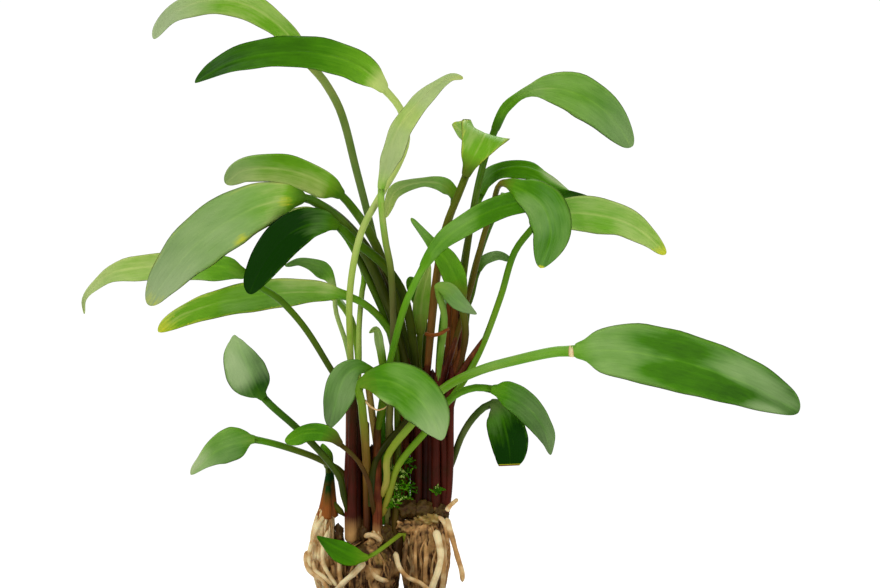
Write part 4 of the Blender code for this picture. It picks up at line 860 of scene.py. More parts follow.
def sheath_skin(name):
    """Leaf sheath: tough, smooth and faintly ribbed, from orange-brown through wine red to nearly black.

    The eye gets fine ribs that run up the sheath, greener upper ends and, where it meets pale roots, tan."""
    colours = bpy.context.scene.plant_colours
    made, tree, shader = start_material(name, 0.5, 0.08)
    rise, shade, greening = (
        add(tree, "ShaderNodeAttribute", attribute_name=key).outputs["Fac"] for key in SHEATH_VALUES)

    # Ribs about 0.4 mm apart that run up the sheath
    place = add(tree, "ShaderNodeTexCoord").outputs["Object"]
    upward = add(
        tree, "ShaderNodeVectorMath", {0: place, 1: (2400.0, 2400.0, 90.0)}, operation="MULTIPLY").outputs[0]
    ribs = add(tree, "ShaderNodeTexNoise", {"Vector": upward, "Scale": 1.0, "Detail": 3.0}).outputs["Fac"]
    mottle = add(tree, "ShaderNodeTexNoise", {"Vector": place, "Scale": 260.0, "Detail": 3.0}).outputs["Fac"]
    uneven = add(tree, "ShaderNodeMath", {0: ribs, 1: mottle}, operation="ADD").outputs[0]
    uneven = add(tree, "ShaderNodeMath", {0: uneven, 1: 0.45, 2: -0.45}, operation="MULTIPLY_ADD").outputs[0]
    # The shade darkens a sheath from orange-brown to nearly black: partly its own colour, partly painted
    # shade
    depth = add(tree, "ShaderNodeMath", {0: shade, 1: uneven}, operation="ADD").outputs[0]
    red = add(
        tree, "ShaderNodeValToRGB", {"Fac": depth},
        stops=((0.0, colours.sheath_light), (1.0, colours.sheath_dark), (0.4, colours.sheath)),
    ).outputs["Color"]
    green_part = add(
        tree, "ShaderNodeMath", {0: greening, 1: uneven}, operation="ADD", use_clamp=True).outputs[0]
    green = add(tree, "ShaderNodeMix", {0: green_part, 6: red, 7: colours.deep}, data_type="RGBA").outputs[2]

    # Where its rise is near nothing, the sheath's foot is tan
    low = add(tree, "ShaderNodeMath", {0: uneven, 1: 0.12, 2: rise}, operation="MULTIPLY_ADD").outputs[0]
    foot = add(
        tree, "ShaderNodeMapRange", {"Value": low, 1: 0.04, 2: 0.17, 3: 0.95, 4: 0.0}).outputs["Result"]
    footed = add(tree, "ShaderNodeMix", {0: foot, 6: green, 7: colours.root_tan}, data_type="RGBA").outputs[2]
    rough = add(tree, "ShaderNodeMath", {0: mottle, 1: 0.3, 2: 0.28}, operation="MULTIPLY_ADD").outputs[0]
    bump = add(tree, "ShaderNodeBump", {"Height": ribs, "Distance": 0.08 * MM, "Strength": 0.8}).outputs[0]
    use(tree, shader, colour=footed, rough=rough, bump=bump)
    return made


def root_skin(name):
    """Fleshy water-plant root: soft and slightly see-through, cream when young, tan and brown with age."""
    colours = bpy.context.scene.plant_colours
    made, tree, shader = start_material(name, 0.6, 0.2)
    place = add(tree, "ShaderNodeTexCoord").outputs["Object"]
    age = add(tree, "ShaderNodeAttribute", attribute_name="age").outputs["Fac"]

    # Stains 2 to 4 mm long and a fine skin grain of about 0.3 mm
    stains = add(tree, "ShaderNodeTexNoise", {"Vector": place, "Scale": 330.0, "Detail": 4.0}).outputs["Fac"]
    grain = add(tree, "ShaderNodeTexNoise", {"Vector": place, "Scale": 2600.0, "Detail": 2.0}).outputs["Fac"]
    uneven = add(tree, "ShaderNodeMath", {0: stains, 1: 0.9, 2: -0.45}, operation="MULTIPLY_ADD").outputs[0]
    darkness = add(tree, "ShaderNodeMath", {0: age, 1: uneven}, operation="ADD").outputs[0]
    darkness = add(tree, "ShaderNodeMath", {0: grain, 1: 0.16, 2: darkness}, operation="MULTIPLY_ADD").outputs[0]
    colour = add(
        tree, "ShaderNodeValToRGB", {"Fac": darkness},
        stops=((0.1, colours.root), (1.0, colours.root_brown), (0.5, colours.root_tan)),
    ).outputs["Color"]
    olive = add(tree, "ShaderNodeAttribute", attribute_name="olive").outputs["Fac"]
    tinged = add(
        tree, "ShaderNodeMix", {0: olive, 6: colour, 7: colours.root_olive}, data_type="RGBA").outputs[2]
    shader.inputs["Subsurface Weight"].default_value = 0.15
    shader.inputs["Subsurface Scale"].default_value = 0.6 * MM
    bump = add(tree, "ShaderNodeBump", {"Height": grain, "Distance": 0.06 * MM, "Strength": 0.7}).outputs[0]
    use(tree, shader, colour=tinged, bump=bump)
    return made


def pot_plastic(name):
    """Polypropylene, injection moulded and left matt: a fine even grain and soft highlights."""
    colours = bpy.context.scene.plant_colours
    made, tree, shader = start_material(name, 0.45, 0.5)
    place = add(tree, "ShaderNodeTexCoord").outputs["Object"]

    # Mould grain of about 0.35 mm, and faint handling wear 8 mm across
    grain = add(tree, "ShaderNodeTexNoise", {"Vector": place, "Scale": 2800.0, "Detail": 2.0}).outputs["Fac"]
    wear = add(tree, "ShaderNodeTexNoise", {"Vector": place, "Scale": 120.0, "Detail": 4.0}).outputs["Fac"]
    lighter = add(
        tree, "ShaderNodeMapRange", {"Value": wear, 1: 0.5, 2: 0.8, 3: 0.0, 4: 0.12}).outputs["Result"]
    scuffed = linear("#5c5d5e")
    colour = add(
        tree, "ShaderNodeMix", {0: lighter, 6: colours.pot, 7: scuffed}, data_type="RGBA").outputs[2]
    rough = add(tree, "ShaderNodeMath", {0: wear, 1: 0.25, 2: 0.32}, operation="MULTIPLY_ADD").outputs[0]
    bump = add(tree, "ShaderNodeBump", {"Height": grain, "Distance": 0.03 * MM, "Strength": 0.5}).outputs[0]
    use(tree, shader, colour=colour, rough=rough, bump=bump)
    return made


def damp_fibre(name, loose):
    """Coir, the husk fibre that fills such pots: dull, matted and damp, tan where it has dried.

    The eye gets dark clumps with lighter fibres on them. Loose, from 0 to 1, makes more of it light."""
    colours = bpy.context.scene.plant_colours
    made, tree, shader = start_material(name, 0.85, 0.25)
    place = add(tree, "ShaderNodeTexCoord").outputs["Object"]

    # Clumps about 4.5 mm across, and hairs of about 0.6 mm, coarser than real ones so that they show
    clumps = add(tree, "ShaderNodeTexNoise", {"Vector": place, "Scale": 220.0, "Detail": 5.0}).outputs["Fac"]
    hairs = add(tree, "ShaderNodeTexNoise", {"Vector": place, "Scale": 1700.0, "Detail": 4.0}).outputs["Fac"]
    both = add(tree, "ShaderNodeMath", {0: clumps, 1: hairs}, operation="ADD").outputs[0]
    dry = add(
        tree, "ShaderNodeMapRange", {"Value": both, 1: 0.85 - loose, 2: 1.2 - loose}).outputs["Result"]
    colour = add(
        tree, "ShaderNodeMix", {0: dry, 6: colours.fibre_dark, 7: colours.fibre}, data_type="RGBA").outputs[2]
    bump = add(tree, "ShaderNodeBump", {"Height": hairs, "Distance": 0.25 * MM}).outputs[0]
    use(tree, shader, colour=colour, bump=bump)
    return made


# Faces from margin to margin on each side of a blade, rings along a blade, and a stalk's ring spacing in mm
BLADE_FACES = 16
BLADE_RINGS = 44
STALK_STEP = 2.6

# The depth of the groove over the midrib and the length of a ripple along the margin, in mm
GROOVE = 0.12
RIPPLE_LENGTH = 13.0


def nearest_shoot(x, y):
    return min(SHOOTS.values(), key=lambda shoot: math.hypot(x - shoot.x, y - shoot.y))


def rooted_foot(foot):
    """Where a stalk goes on below its foot: down into its sheath, or sideways into the shoot it leaves."""
    shoot = nearest_shoot(foot.x, foot.y)
    if shoot.bottom + 4 < foot.z < shoot.top - 4:
        return Vector((foot.x * 0.3 + shoot.x * 0.7, foot.y * 0.3 + shoot.y * 0.7, foot.z - 7))
    return foot - Vector((0, 0, 3))


def turned_directions(centres, leaf, places, turns):
    """For each centre, the direction from margin to margin and the one that faces the front."""
    eye = Vector((VIEW_X, -VIEW_DISTANCE, VIEW_Z))
    found = []
    for i, centre in enumerate(centres):
        tangent = (centres[min(i + 1, len(centres) - 1)] - centres[max(i - 1, 0)]).normalized()
        if leaf.side:
            across = Vector(leaf.side)
            if leaf.flap:
                across = across.lerp(Vector(leaf.flap), smooth_step((places[i] - 0.5) / 0.25))
            across = (across - tangent * across.dot(tangent)).normalized()
        else:
            sight = (centre - eye).normalized()
            across = sight.cross(tangent).normalized()
            away = tangent.cross(across)
            across = (across * math.cos(turns[i]) - away * math.sin(turns[i])).normalized()
        found.append((across, across.cross(tangent).normalized()))
    return found


def blade_colours(leaf, s, partway, up_share, front):
    """Tone, painted sheen and ageing of a blade at s along it and partway to a margin, on its front or its
    back.
    """
    # Upper lightens the upper half, and darkens it where below 0: painted light and painted shade that fall
    # on one half
    tone = blend(leaf.tone, s) + leaf.upper * up_share
    bloom = blend(leaf.bloom, s)
    base, edge, tip = leaf.ageing
    ageing = max(base * (1 - s / 0.3), edge * abs(partway) ** 5, tip * smooth_step((s - 0.84) / 0.16), 0)
    # The marks' changes of tone and sheen paint patches of light, shade and sheen; their ageing yellows and
    # dries the blade
    for at, side, long, high, more_tone, more_sheen, more_age in leaf.marks:
        amount = smooth_step(1.4 - math.hypot((s - at) / long, (up_share - side) / high))
        tone += more_tone * amount
        bloom += more_sheen * amount
        ageing += more_age * amount
    if front < 0:
        # The side turned away is duller, and the underside paler
        tone = tone * 0.6 + (0.05 if leaf.under else 0.25)
        bloom = bloom * 0.4 + 0.1
    # A thin pale line runs along the margin: a painted highlight, a bright rim along the blade's edge
    tone += 0.16 * abs(partway) ** 14
    return tone, bloom, ageing


def leaf_piece(name, leaf, finish):
    """One leaf: a round stalk that flattens into a thin blade with a midrib, closed all round.

    The blade and stalk are one grid, rolled round the leaf's middle line and sewn at one margin."""
    sizes = bpy.context.scene.plant_sizes
    thick, rib, neck_length = sizes.blade / MM / 2, sizes.rib / MM / 2, sizes.neck / MM
    seeded = random.Random(name)
    seed, phase = seeded.uniform(0, 90), seeded.uniform(0, math.tau)
    points = [seen_from_front(*point) for point in leaf.stalk + leaf.blade]
    points = [rooted_foot(points[0])] + points
    path = smooth_path(points, PATH_STEPS)
    joint = PATH_STEPS * (len(leaf.stalk) + 1)
    stalk_path, blade_path = path[: joint + 1], path[joint:]
    stalk_length, blade_length = path_length(stalk_path), path_length(blade_path)
    count = max(6, round(stalk_length / STALK_STEP))
    stations = [(1 - math.cos(math.pi * i / BLADE_RINGS)) / 2 for i in range(BLADE_RINGS + 1)]
    centres = at_fractions(stalk_path, evenly(count))[:-1] + at_fractions(blade_path, stations)
    places = [0.0] * count + stations
    heads_left = leaf.blade[-1][0] < leaf.blade[0][0]
    sign = 1 if heads_left else -1
    turns = [math.radians(blend(leaf.turn, s)) * sign for s in places]
    directions = turned_directions(centres, leaf, places, turns)
    top_radius = (leaf.outline[0][1] + leaf.outline[0][-1]) / 2
    foot_radius = min(sizes.stalk_foot / MM / 2, top_radius)

    body = body_with(LEAF_VALUES)
    skin = body.verts.layers.float_vector["skin"]
    share, tone, bloom, ageing, blush = (body.verts.layers.float[key] for key in LEAF_VALUES[1:])
    rings = count + BLADE_RINGS
    bmesh.ops.create_grid(body, x_segments=rings, y_segments=2 * BLADE_FACES, size=1)
    for vert in body.verts:
        i = round((vert.co.x + 1) / 2 * rings)
        j = round((vert.co.y + 1) * BLADE_FACES)
        front = 1 if j <= BLADE_FACES else -1
        k = j if j <= BLADE_FACES else 2 * BLADE_FACES - j
        across, facing = directions[i]
        angle = math.pi * k / BLADE_FACES
        if i < count:
            f = i / count
            radius = foot_radius + (top_radius - foot_radius) * f
            radius *= 1 + (leaf.stout - 1) * math.sqrt(math.sin(math.pi * f))
            if i == 0:
                radius = 0
            s, along, neck = 0.0, (f - 1) * stalk_length, 0.0
            span, lift, partway = -math.cos(angle) * radius, front * math.sin(angle) * radius, 0.0
        else:
            s = stations[i - count]
            f, along = 1.0, s * blade_length
            neck = smooth_step(along / neck_length)
            x = 2 * k / BLADE_FACES - 1
            partway = math.copysign(abs(x) ** 1.3, x)
            upward = (partway > 0) == heads_left
            reach = reach_at(leaf.outline, s, 1 if upward else -1)
            if not leaf.side:
                reach /= math.cos(turns[i])
            half = (reach_at(leaf.outline, s, 1) + reach_at(leaf.outline, s, -1)) / 2
            flat = partway * reach
            # The midrib stands out below and lies in a shallow groove above
            close = math.exp(-((flat / (rib * (1.1 - 0.7 * s))) ** 2))
            hidden = (front < 0) != leaf.under
            body_part = thick * math.sqrt(max(0.0, 1 - partway * partway)) * (1 - 0.4 * s)
            relief = rib * 1.3 * (1 - 0.8 * s) * close if hidden else -GROOVE * close
            relief *= smooth_step((1 - s) * 12)
            wave = math.sin(math.tau * along / RIPPLE_LENGTH + phase + partway * 0.9)
            bend = blend(leaf.cup, s) * half * partway**2 + blend(leaf.fold, s) * half * abs(partway)
            bend += leaf.ripple * wave * partway**2 * smooth_step(s * 6)
            if s == 1:
                body_part = relief = 0
            span = (1 - neck) * -math.cos(angle) * reach + neck * flat
            lift = (1 - neck) * front * math.sin(angle) * top_radius
            lift += neck * (front * (body_part + relief) + bend)
        vert.co = (centres[i] + across * span + facing * lift) * MM
        vert[skin] = (along, span, seed)
        vert[share] = partway
        up_share = partway if heads_left else -partway
        blade_tone, blade_sheen, blade_ageing = blade_colours(leaf, s, partway, up_share, front)
        vert[tone] = blend(leaf.stem, f) * (1 - neck) + blade_tone * neck
        vert[bloom] = leaf.film * (1 - neck) + blade_sheen * neck
        vert[ageing] = blade_ageing * neck
        vert[blush] = blend(leaf.blush, f) * (1 - neck)
    bmesh.ops.remove_doubles(body, verts=body.verts, dist=1e-7)
    return piece_from(name + "_living", body, finish)


def add_strand(body, centres, radii, sides, values):
    """Adds a round strand along the centres, closed where its radius is 0, and gives its points values.

    A value is a number or triple for the whole strand, or a list with one for each centre."""
    rings = len(centres) - 1
    made = bmesh.ops.create_grid(body, x_segments=rings, y_segments=sides, size=1)["verts"]
    directions = carried_directions(centres)
    layers = {
        key: (body.verts.layers.float_vector if key == "skin" else body.verts.layers.float)[key]
        for key in values
    }
    for vert in made:
        i = round((vert.co.x + 1) / 2 * rings)
        angle = (vert.co.y + 1) * math.pi
        across, facing = directions[i]
        for key, value in values.items():
            vert[layers[key]] = value[i] if isinstance(value, list) else value
        offset = across * math.cos(angle) + facing * math.sin(angle)
        vert.co = (centres[i] + offset * radii[i]) * MM
    bmesh.ops.remove_doubles(body, verts=made, dist=1e-7)


def tapered(rings, start, end):
    """Radii of a strand of this many rings that closes where it begins and tapers to an open far end."""
    return [0.0] + [start + (end - start) * (i / (rings - 2)) for i in range(rings - 1)]


def sheath_piece(name, shoot, finish):
    """The sheaths of one shoot: each leaf's stalk goes on down in its own sheath, and they overlap."""
    sizes = bpy.context.scene.plant_sizes
    seeded = random.Random(name)
    body = body_with(SHEATH_VALUES)
    # The sheaths of a shoot that climbs high stay brown for longer and lose their shade towards the top
    greener, fade = (0.25, 0.6) if shoot.climb > 20 else (1.0, 0.0)
    for leaf in LEAVES.values():
        points = [seen_from_front(*point) for point in leaf.stalk]
        foot = points[0]
        beside, behind = abs(foot.x - shoot.x), abs(foot.y - shoot.y)
        if beside >= shoot.half_width + 0.6 or behind >= shoot.half_depth + 0.6 or foot.z <= shoot.top:
            continue
        low = Vector((
            shoot.x + (foot.x - shoot.x) * 0.9 + seeded.uniform(-0.2, 0.2),
            shoot.y + (foot.y - shoot.y) * 0.86 + seeded.uniform(-0.2, 0.2), shoot.bottom - 2))
        middle = low.lerp(foot, 0.5) + Vector((seeded.uniform(-0.3, 0.3), seeded.uniform(-0.3, 0.3), 0))
        rest = smooth_path(points)
        over = at_fractions(rest, [0.0, min(0.9, shoot.climb * seeded.uniform(0.5, 1.0) / path_length(rest))])
        path = smooth_path([low, middle] + over)
        count = 26
        centres = at_fractions(path, evenly(count))
        # Widest at its foot, a sheath clings to its stalk further up and ends in a short taper
        wide = sizes.sheath / MM / 2 * seeded.uniform(0.9, 1.08)
        radii = []
        for t in evenly(count):
            swell = 1 + 0.1 * math.sin(math.pi * min(1, t * 4))
            loose = (wide * swell) * (1 - t) ** 0.6 * 0.35
            radii.append(loose + wide * 0.65 + 0.05 - 0.28 * smooth_step((t - 0.7) * 3))
        radii[0] = radii[-1] = 0
        radii[-2] *= 0.7
        radii[-3] *= 0.9
        rises = [
            max((centre.z - shoot.bottom) / (shoot.top - shoot.bottom), shoot.foot) for centre in centres]
        # The shade across the shoot runs from left_shade to right_shade: partly the sheaths' own colour,
        # partly painted light on the lit side and painted shade on the other
        from_left = (foot.x - shoot.x) / shoot.half_width / 2 + 0.5
        shade = shoot.left_shade + (shoot.right_shade - shoot.left_shade) * from_left
        shade += seeded.uniform(-0.1, 0.1)
        shades = [shade * (1 - fade * smooth_step(2 * i / count - 0.9)) for i in range(count + 1)]
        green = [greener * max(0.0, (t - 0.5) * seeded.uniform(0.9, 1.1)) for t in evenly(count)]
        add_strand(body, centres, radii, 12, {"rise": rises, "shade": shades, "greening": green})
    return piece_from(name + "_sheaths", body, finish)


def crown_girth(crown, angle, t):
    """How far a crown of roots reaches, as a share of its half sizes, at this angle and height."""
    girth = 0.80 + 0.20 * math.sin(math.pi * (0.15 + 0.75 * t)) + 0.03 * math.sin(7 * t + crown.lobes)
    girth *= 1 - (1 - crown.neck) * t**2 - (1 - crown.foot) * (1 - t) ** 2
    return girth * (1 + 0.06 * math.sin(crown.lobes * angle + 3 * t))


def crown_place(crown, angle, t, outward):
    """A point on or near the crown's side at this angle and height."""
    girth = crown_girth(crown, angle, min(max(t, 0.0), 1.0)) * outward
    return Vector((
        crown.x + crown.lean * (2 * t - 1) ** 2 + crown.half_width * girth * math.cos(angle),
        crown.y + crown.half_depth * girth * math.sin(angle),
        crown.bottom + (crown.top - crown.bottom) * t))


def crown_piece(name, crown, finish):
    """The brown matted heart of a crown: a closed lump, knobbly all over, that the roots grow from."""
    body = body_with(("age", "olive"))
    age, olive = (body.verts.layers.float[key] for key in ("age", "olive"))
    bmesh.ops.create_icosphere(body, subdivisions=6, radius=1)
    for vert in body.verts:
        direction = vert.co.copy()
        angle = math.atan2(direction.y, direction.x)
        level = math.copysign(abs(direction.z) ** 0.7, direction.z)
        t = (level + 1) / 2
        flat = math.hypot(direction.x, direction.y)
        spread = (1 - abs(level) ** 9) ** 0.5 if flat > 0 else 0.0
        place = crown_place(crown, angle, t, 0.97 * spread)
        knob = noise.fractal(place * 0.35, 1.0, 2.0, 4) + 0.6 * noise.noise(place * 0.9)
        crease = abs(noise.noise(Vector((place.x * 0.5, place.y * 0.5, place.z * 0.16))))
        outward = Vector((math.cos(angle) * flat, math.sin(angle) * flat, direction.z))
        bulge = 0.55 * knob - 1.1 * max(0.0, 0.16 - crease) / 0.16 * 0.5
        # Knobs are made lighter and creases darker: painted light on the knobs and painted shade in the
        # creases
        darkness, tinge = crown.age - 0.3 * knob + 0.35 * max(0.0, 0.16 - crease) / 0.16, 0.0
        # Only the front of a crown has the lumps, the stains and the painted shade of its hollows
        facing = smooth_step((crown.y - place.y) / 3)
        for across, height, wide, high, swell, lump_darkness, lump_olive in LUMPS:
            near = facing * math.exp(-(((place.x - across) / wide) ** 4) - ((place.z - height) / high) ** 4)
            bulge += swell * near
            darkness += (lump_darkness - 0.2 * knob - darkness) * near
            tinge += (lump_olive - tinge) * near
        vert.co = (place + outward * bulge) * MM
        vert[age] = darkness
        vert[olive] = tinge
    for crown_name, centre, halves, mat_age, mat_olive in MATS:
        if crown_name != name:
            continue
        for vert in bmesh.ops.create_icosphere(body, subdivisions=4, radius=1)["verts"]:
            place = Vector(centre) + Vector(side * half for side, half in zip(vert.co, halves))
            knob = noise.fractal(place * 0.55, 1.0, 2.0, 4) + 0.6 * noise.noise(place * 1.3)
            crease = abs(noise.noise(Vector((place.x * 0.7, place.y * 0.7, place.z * 0.3))))
            crease = max(0.0, 0.2 - crease) / 0.2
            vert.co = (place + vert.co * (0.9 * knob - 0.6 * crease)) * MM
            # Here too the creases are darker and the knobs lighter: painted shade and painted light
            vert[age] = mat_age - 0.3 * knob + 0.4 * crease
            vert[olive] = mat_olive * (1 - crease)
    return piece_from(name + "_heart", body, finish)


def fine_root_piece(name, crown, finish):
    """The fine roots that mat one crown: they leave its top, run down its sides and enter the pot."""
    sizes = bpy.context.scene.plant_sizes
    seeded = random.Random(name)
    body = body_with(["age"])
    for number in range(sizes.fine_roots):
        angle = math.tau * (number + seeded.uniform(-0.4, 0.4)) / sizes.fine_roots
        drift = seeded.uniform(-0.7, 0.7)
        start = seeded.uniform(0.55, 1.0)
        outward = seeded.uniform(0.95, 1.03)
        points = []
        if start > 0.85:
            top = crown_place(crown, angle - drift * 0.4, 1.0, 0.4)
            points.append(top + Vector((0, 0, seeded.uniform(0, 0.8))))
        steps = 7
        for step in range(steps + 1):
            down = step / steps
            wander = 0.12 * math.sin(5 * down + number) + 0.08 * math.sin(11 * down + 2.3 * number)
            height = start * (1 - down) - 0.03 * down
            shoulder = 1 - 0.3 * max(0.0, height - 0.85) / 0.15
            points.append(crown_place(crown, angle + drift * down + wander, height, outward * shoulder))
        path = smooth_path(points, 4)
        count = 16
        width = sizes.fine_root / MM * seeded.uniform(0.3, 1.1) / 2
        radii = tapered(count + 1, width, width * seeded.uniform(0.5, 0.9))
        radii = [radius * (1 + 0.12 * math.sin(i * 1.7 + number)) for i, radius in enumerate(radii)]
        age = crown.age - 0.1 + seeded.uniform(-0.3, 0.3)
        add_strand(body, at_fractions(path, evenly(count)), radii, 7, {"age": age})
    return piece_from(name + "_roots", body, finish)


def thick_root_piece(name, root, age, finish, embedded=False):
    """One thick root: round, a little uneven and swollen here and there, and closed at both ends.

    An embedded one starts thinner, inside its crown."""
    seeded = random.Random(name)
    body = body_with(["age"])
    path = route_path(root.route)
    count = max(14, round(path_length(path) / 0.7))
    radii = []
    for t in evenly(count):
        end = min(1.0, math.sqrt(max(0.0, min(t, 1 - t) * count / 1.6)))
        if embedded:
            end *= 0.45 + 0.55 * smooth_step(t * 4)
        uneven = 1 + 0.06 * math.sin(9 * t + seeded.random()) + 0.05 * math.sin(23 * t)
        radii.append((root.width + (root.end_width - root.width) * t) / 2 * end * uneven)
    ages = [age + 0.25 * noise.noise(Vector((i * 0.3, len(name), 0.5))) for i in range(count + 1)]
    add_strand(body, at_fractions(path, evenly(count)), radii, 14, {"age": ages})
    return piece_from(name + "_fleshy", body, finish)


# Roots that the front shows on the crowns: (route, width, end width, age)
FRONT_ROOTS = [
    ([(-5.2, 61.8, -8.4), (-4.2, 59.6, -10.6), (-3.2, 57.8, -11.4), (-1.4, 56.6, -11.4), (1.3, 56.0, -10.6)],
     1.9, 1.4, 0.3),
    ([(-18.4, 78.4, -0.6), (-21.6, 73.4, -3.6), (-23.6, 68, -5), (-24.4, 62.6, -5.2), (-23.4, 59, -5)],
     1.6, 1.2, 0.15),
    ([(-18.2, 72.6, -3.2), (-19.6, 67.6, -5.6), (-19.8, 62, -6.4), (-17.6, 57.6, -7.4), (-15.2, 54, -8)],
     1.7, 1.2, 0.2),
    ([(-14.2, 68, -4), (-14.6, 63, -6.4), (-14.4, 58, -7.8), (-13.4, 52, -8)], 1.8, 1.3, 0.4),
    ([(-23, 63, -4), (-22.4, 59.6, -6), (-19.6, 57.4, -7.6), (-16.8, 54.6, -8.4)], 1.4, 1.1, 0.2),
    ([(12.6, 70.4, -4.4), (13.2, 65, -6.2), (12.8, 58.4, -6.8), (13.4, 51.4, -6)], 1.7, 1.3, 0.45),
    ([(18.4, 71.6, -2.4), (18.8, 64.1, -3.8), (18.6, 56.4, -3.8), (18, 51.2, -3)], 1.9, 1.5, 0.4),
    ([(7.2, 69.6, -4.4), (6.4, 64.6, -6.2), (6, 58.6, -6.8), (7.2, 52, -6.4)], 1.5, 1.2, 0.85),
    ([(10, 70.4, -4.6), (9.7, 65, -6.4), (9.9, 58.6, -6.6), (10.4, 51.4, -6.2)], 1.2, 1.0, 0.6),
    ([(15.4, 76.8, -3.4), (18.2, 75.8, -4.6), (19.6, 72.4, -5), (20.2, 67.6, -4.6)], 1.6, 1.1, 0.35),
    ([(-6.8, 70.2, -6.4), (-4.9, 70.8, -8.4), (-2.8, 70.2, -8.8), (-1.2, 68.6, -8.2)], 1.8, 1.5, 0.35),
]

# Old sheaths between the shoots: (route, width, end width, shade, greening)
OLD_SHEATHS = [
    ([(21.4, 126, -0.4), (21.2, 117, -1.2), (21, 107, -1.6), (20.9, 95, -1.6), (20.3, 84, -1.2),
      (19.4, 78, -1)], 2.0, 2.4, 0.5, 0.0),
    ([(15.2, 124, 1.4), (14.9, 112, 0.6), (14.7, 96, -0.2), (14.6, 79, 0)], 2.6, 3.2, 0.85, 0.0),
    ([(22.4, 148, 7), (22.2, 138, 6), (21.8, 128, 5), (21, 118, 4), (20.2, 110, 3)], 2.4, 3.0, 0.05, 0.25),
    ([(20.8, 146, 9), (20.7, 136, 8), (20.2, 126, 7), (19.4, 116, 6)], 2.4, 2.8, 0.1, 0.0),
    ([(24.9, 146, 8), (24, 136, 7), (22.8, 126, 6), (21.4, 116, 5)], 2.2, 2.8, 0.4, 0.0),
    ([(5.6, 123, 4), (4.8, 112, 3.6), (4.2, 102, 3), (3.6, 90, 2.4), (3, 74, 1)], 2.6, 3.0, 0.15, 0.0),
    ([(7.9, 120, 5), (7.2, 110, 4.6), (6.6, 98, 4.2), (6.0, 88, 3.6), (5.4, 76, 3)], 2.6, 3.0, 0.3, 0.0),
    ([(-6.2, 108, 2), (-6.1, 98, 1.6), (-6, 86, 1), (-5.8, 72, 0)], 2.4, 3.0, 0.8, 0.0),
    # The last three fill the gaps between the shoots, and their near black is partly painted shade in the
    # gaps
    ([(8.8, 113, 3.2), (8.9, 104, 2.8), (9, 94, 2.4), (9.2, 79, 2)], 1.8, 2.2, 0.75, 0.0),
    ([(-7.4, 110, 3), (-7.5, 98, 2.6), (-7.6, 86, 2), (-7.6, 74, 1.4)], 1.8, 2.2, 0.95, 0.0),
    ([(-4.2, 100, 2.6), (-4.3, 90, 2.2), (-4.4, 80, 1.6), (-4.4, 69, 1)], 1.8, 2.2, 0.9, 0.0),
]

# Young stalks and leaf bases between the shoots: (route, width, end width, tone, blush)
YOUNG_STALKS = [
    ([(-5.6, 120.5, 0.4), (-3.9, 108, 0), (-2.7, 99.9, -0.6), (-2.1, 90, -1), (-1.9, 78, -1)],
     2.2, 2.6, 0.85, 0.75),
    ([(-0.3, 119, 1.6), (-0.9, 110, 1.2), (-1.0, 100, 0.4), (-1.2, 88, -0.6), (-1.4, 74, -1)],
     2.2, 2.6, 0.25, 0.0),
    ([(1.9, 117, 2.6), (1.5, 110, 2.2), (1.2, 102, 1.8), (0.9, 90, 1.2), (0.7, 74, 0.6)],
     2.4, 2.8, 0.92, 0.5),
    ([(8.6, 110, -0.6), (4.8, 104.8, -2.6), (0.8, 100.4, -4.2), (-2.2, 96, -5.2), (-3.8, 90, -5.4),
      (-4.2, 80, -4.4)], 2.2, 2.6, 0.0, 0.65),
    ([(-9.4, 161.6, 2.6), (-5.3, 152.6, 3), (-2.5, 146.6, 3.2), (0, 140.8, 3.4), (2.6, 132, 3.8),
      (5.2, 120, 4)], 2.2, 2.8, 0.2, 0.35),
    ([(-5.4, 161, 3.4), (-0.8, 152.4, 3.8), (2.6, 143, 4.2), (4.6, 133.2, 4.6), (6.2, 122, 5), (7.2, 112, 5)],
     2.4, 2.8, 0.25, 0.75),
    ([(0.4, 156, 1.4), (3.2, 148.4, 2), (5, 140, 2.6), (6.6, 130, 3.4), (7.8, 120, 4), (8.6, 112, 4)],
     2.4, 2.8, 0.15, 0.5),
]

# Moss between the shoots: (across, height, depth) of each tuft and its reach
TUFTS = [
    (4.2, 86, -4.6, 4.0), (6.4, 90, -4, 3.4), (3.2, 91, -3.6, 2.8), (6.8, 85.6, -4.4, 3.0),
    (17, 84.4, -4.2, 1.8), (2.6, 80.6, -4.6, 2.6), (7.2, 94, -4, 2.6), (5.4, 82.6, -4.6, 2.6),
]


def pot_piece(name, finish):
    """The pot: a tapering plastic cup with a foot ring, a step under its plain rim and a rounded lip."""
    # (radius, height) up the outside, over the rim and down the inside
    profile = [
        (0, 0.6), (16.0, 0.6), (16.8, 0.0), (18.2, 0.0), (19.0, 0.8), (25.5, 46.5), (27.7, 46.5),
        (28.0, 46.8), (28.0, 49.4), (27.4, 50.0), (26.0, 50.0), (24.9, 49.6), (24.7, 49.0), (18.2, 2.4),
        (17.4, 1.7), (0, 1.6),
    ]
    body = spun(profile, 120)
    bmesh.ops.recalc_face_normals(body, faces=body.faces)
    corners = [edge for edge in body.edges if edge.is_manifold and edge.calc_face_angle() > math.radians(24)]
    bmesh.ops.bevel(
        body, geom=corners, offset=0.16 * MM, affect="EDGES", segments=3, profile=0.5, material=-1,
        clamp_overlap=True)
    return piece_from(name, body, finish, 50)


# The growing medium's top before it is roughened, its radius there, and the height that loose fibres lie at
MEDIUM_TOP = 48.4
MEDIUM_RADIUS = 24.2
FIBRE_HEIGHT = 48.9


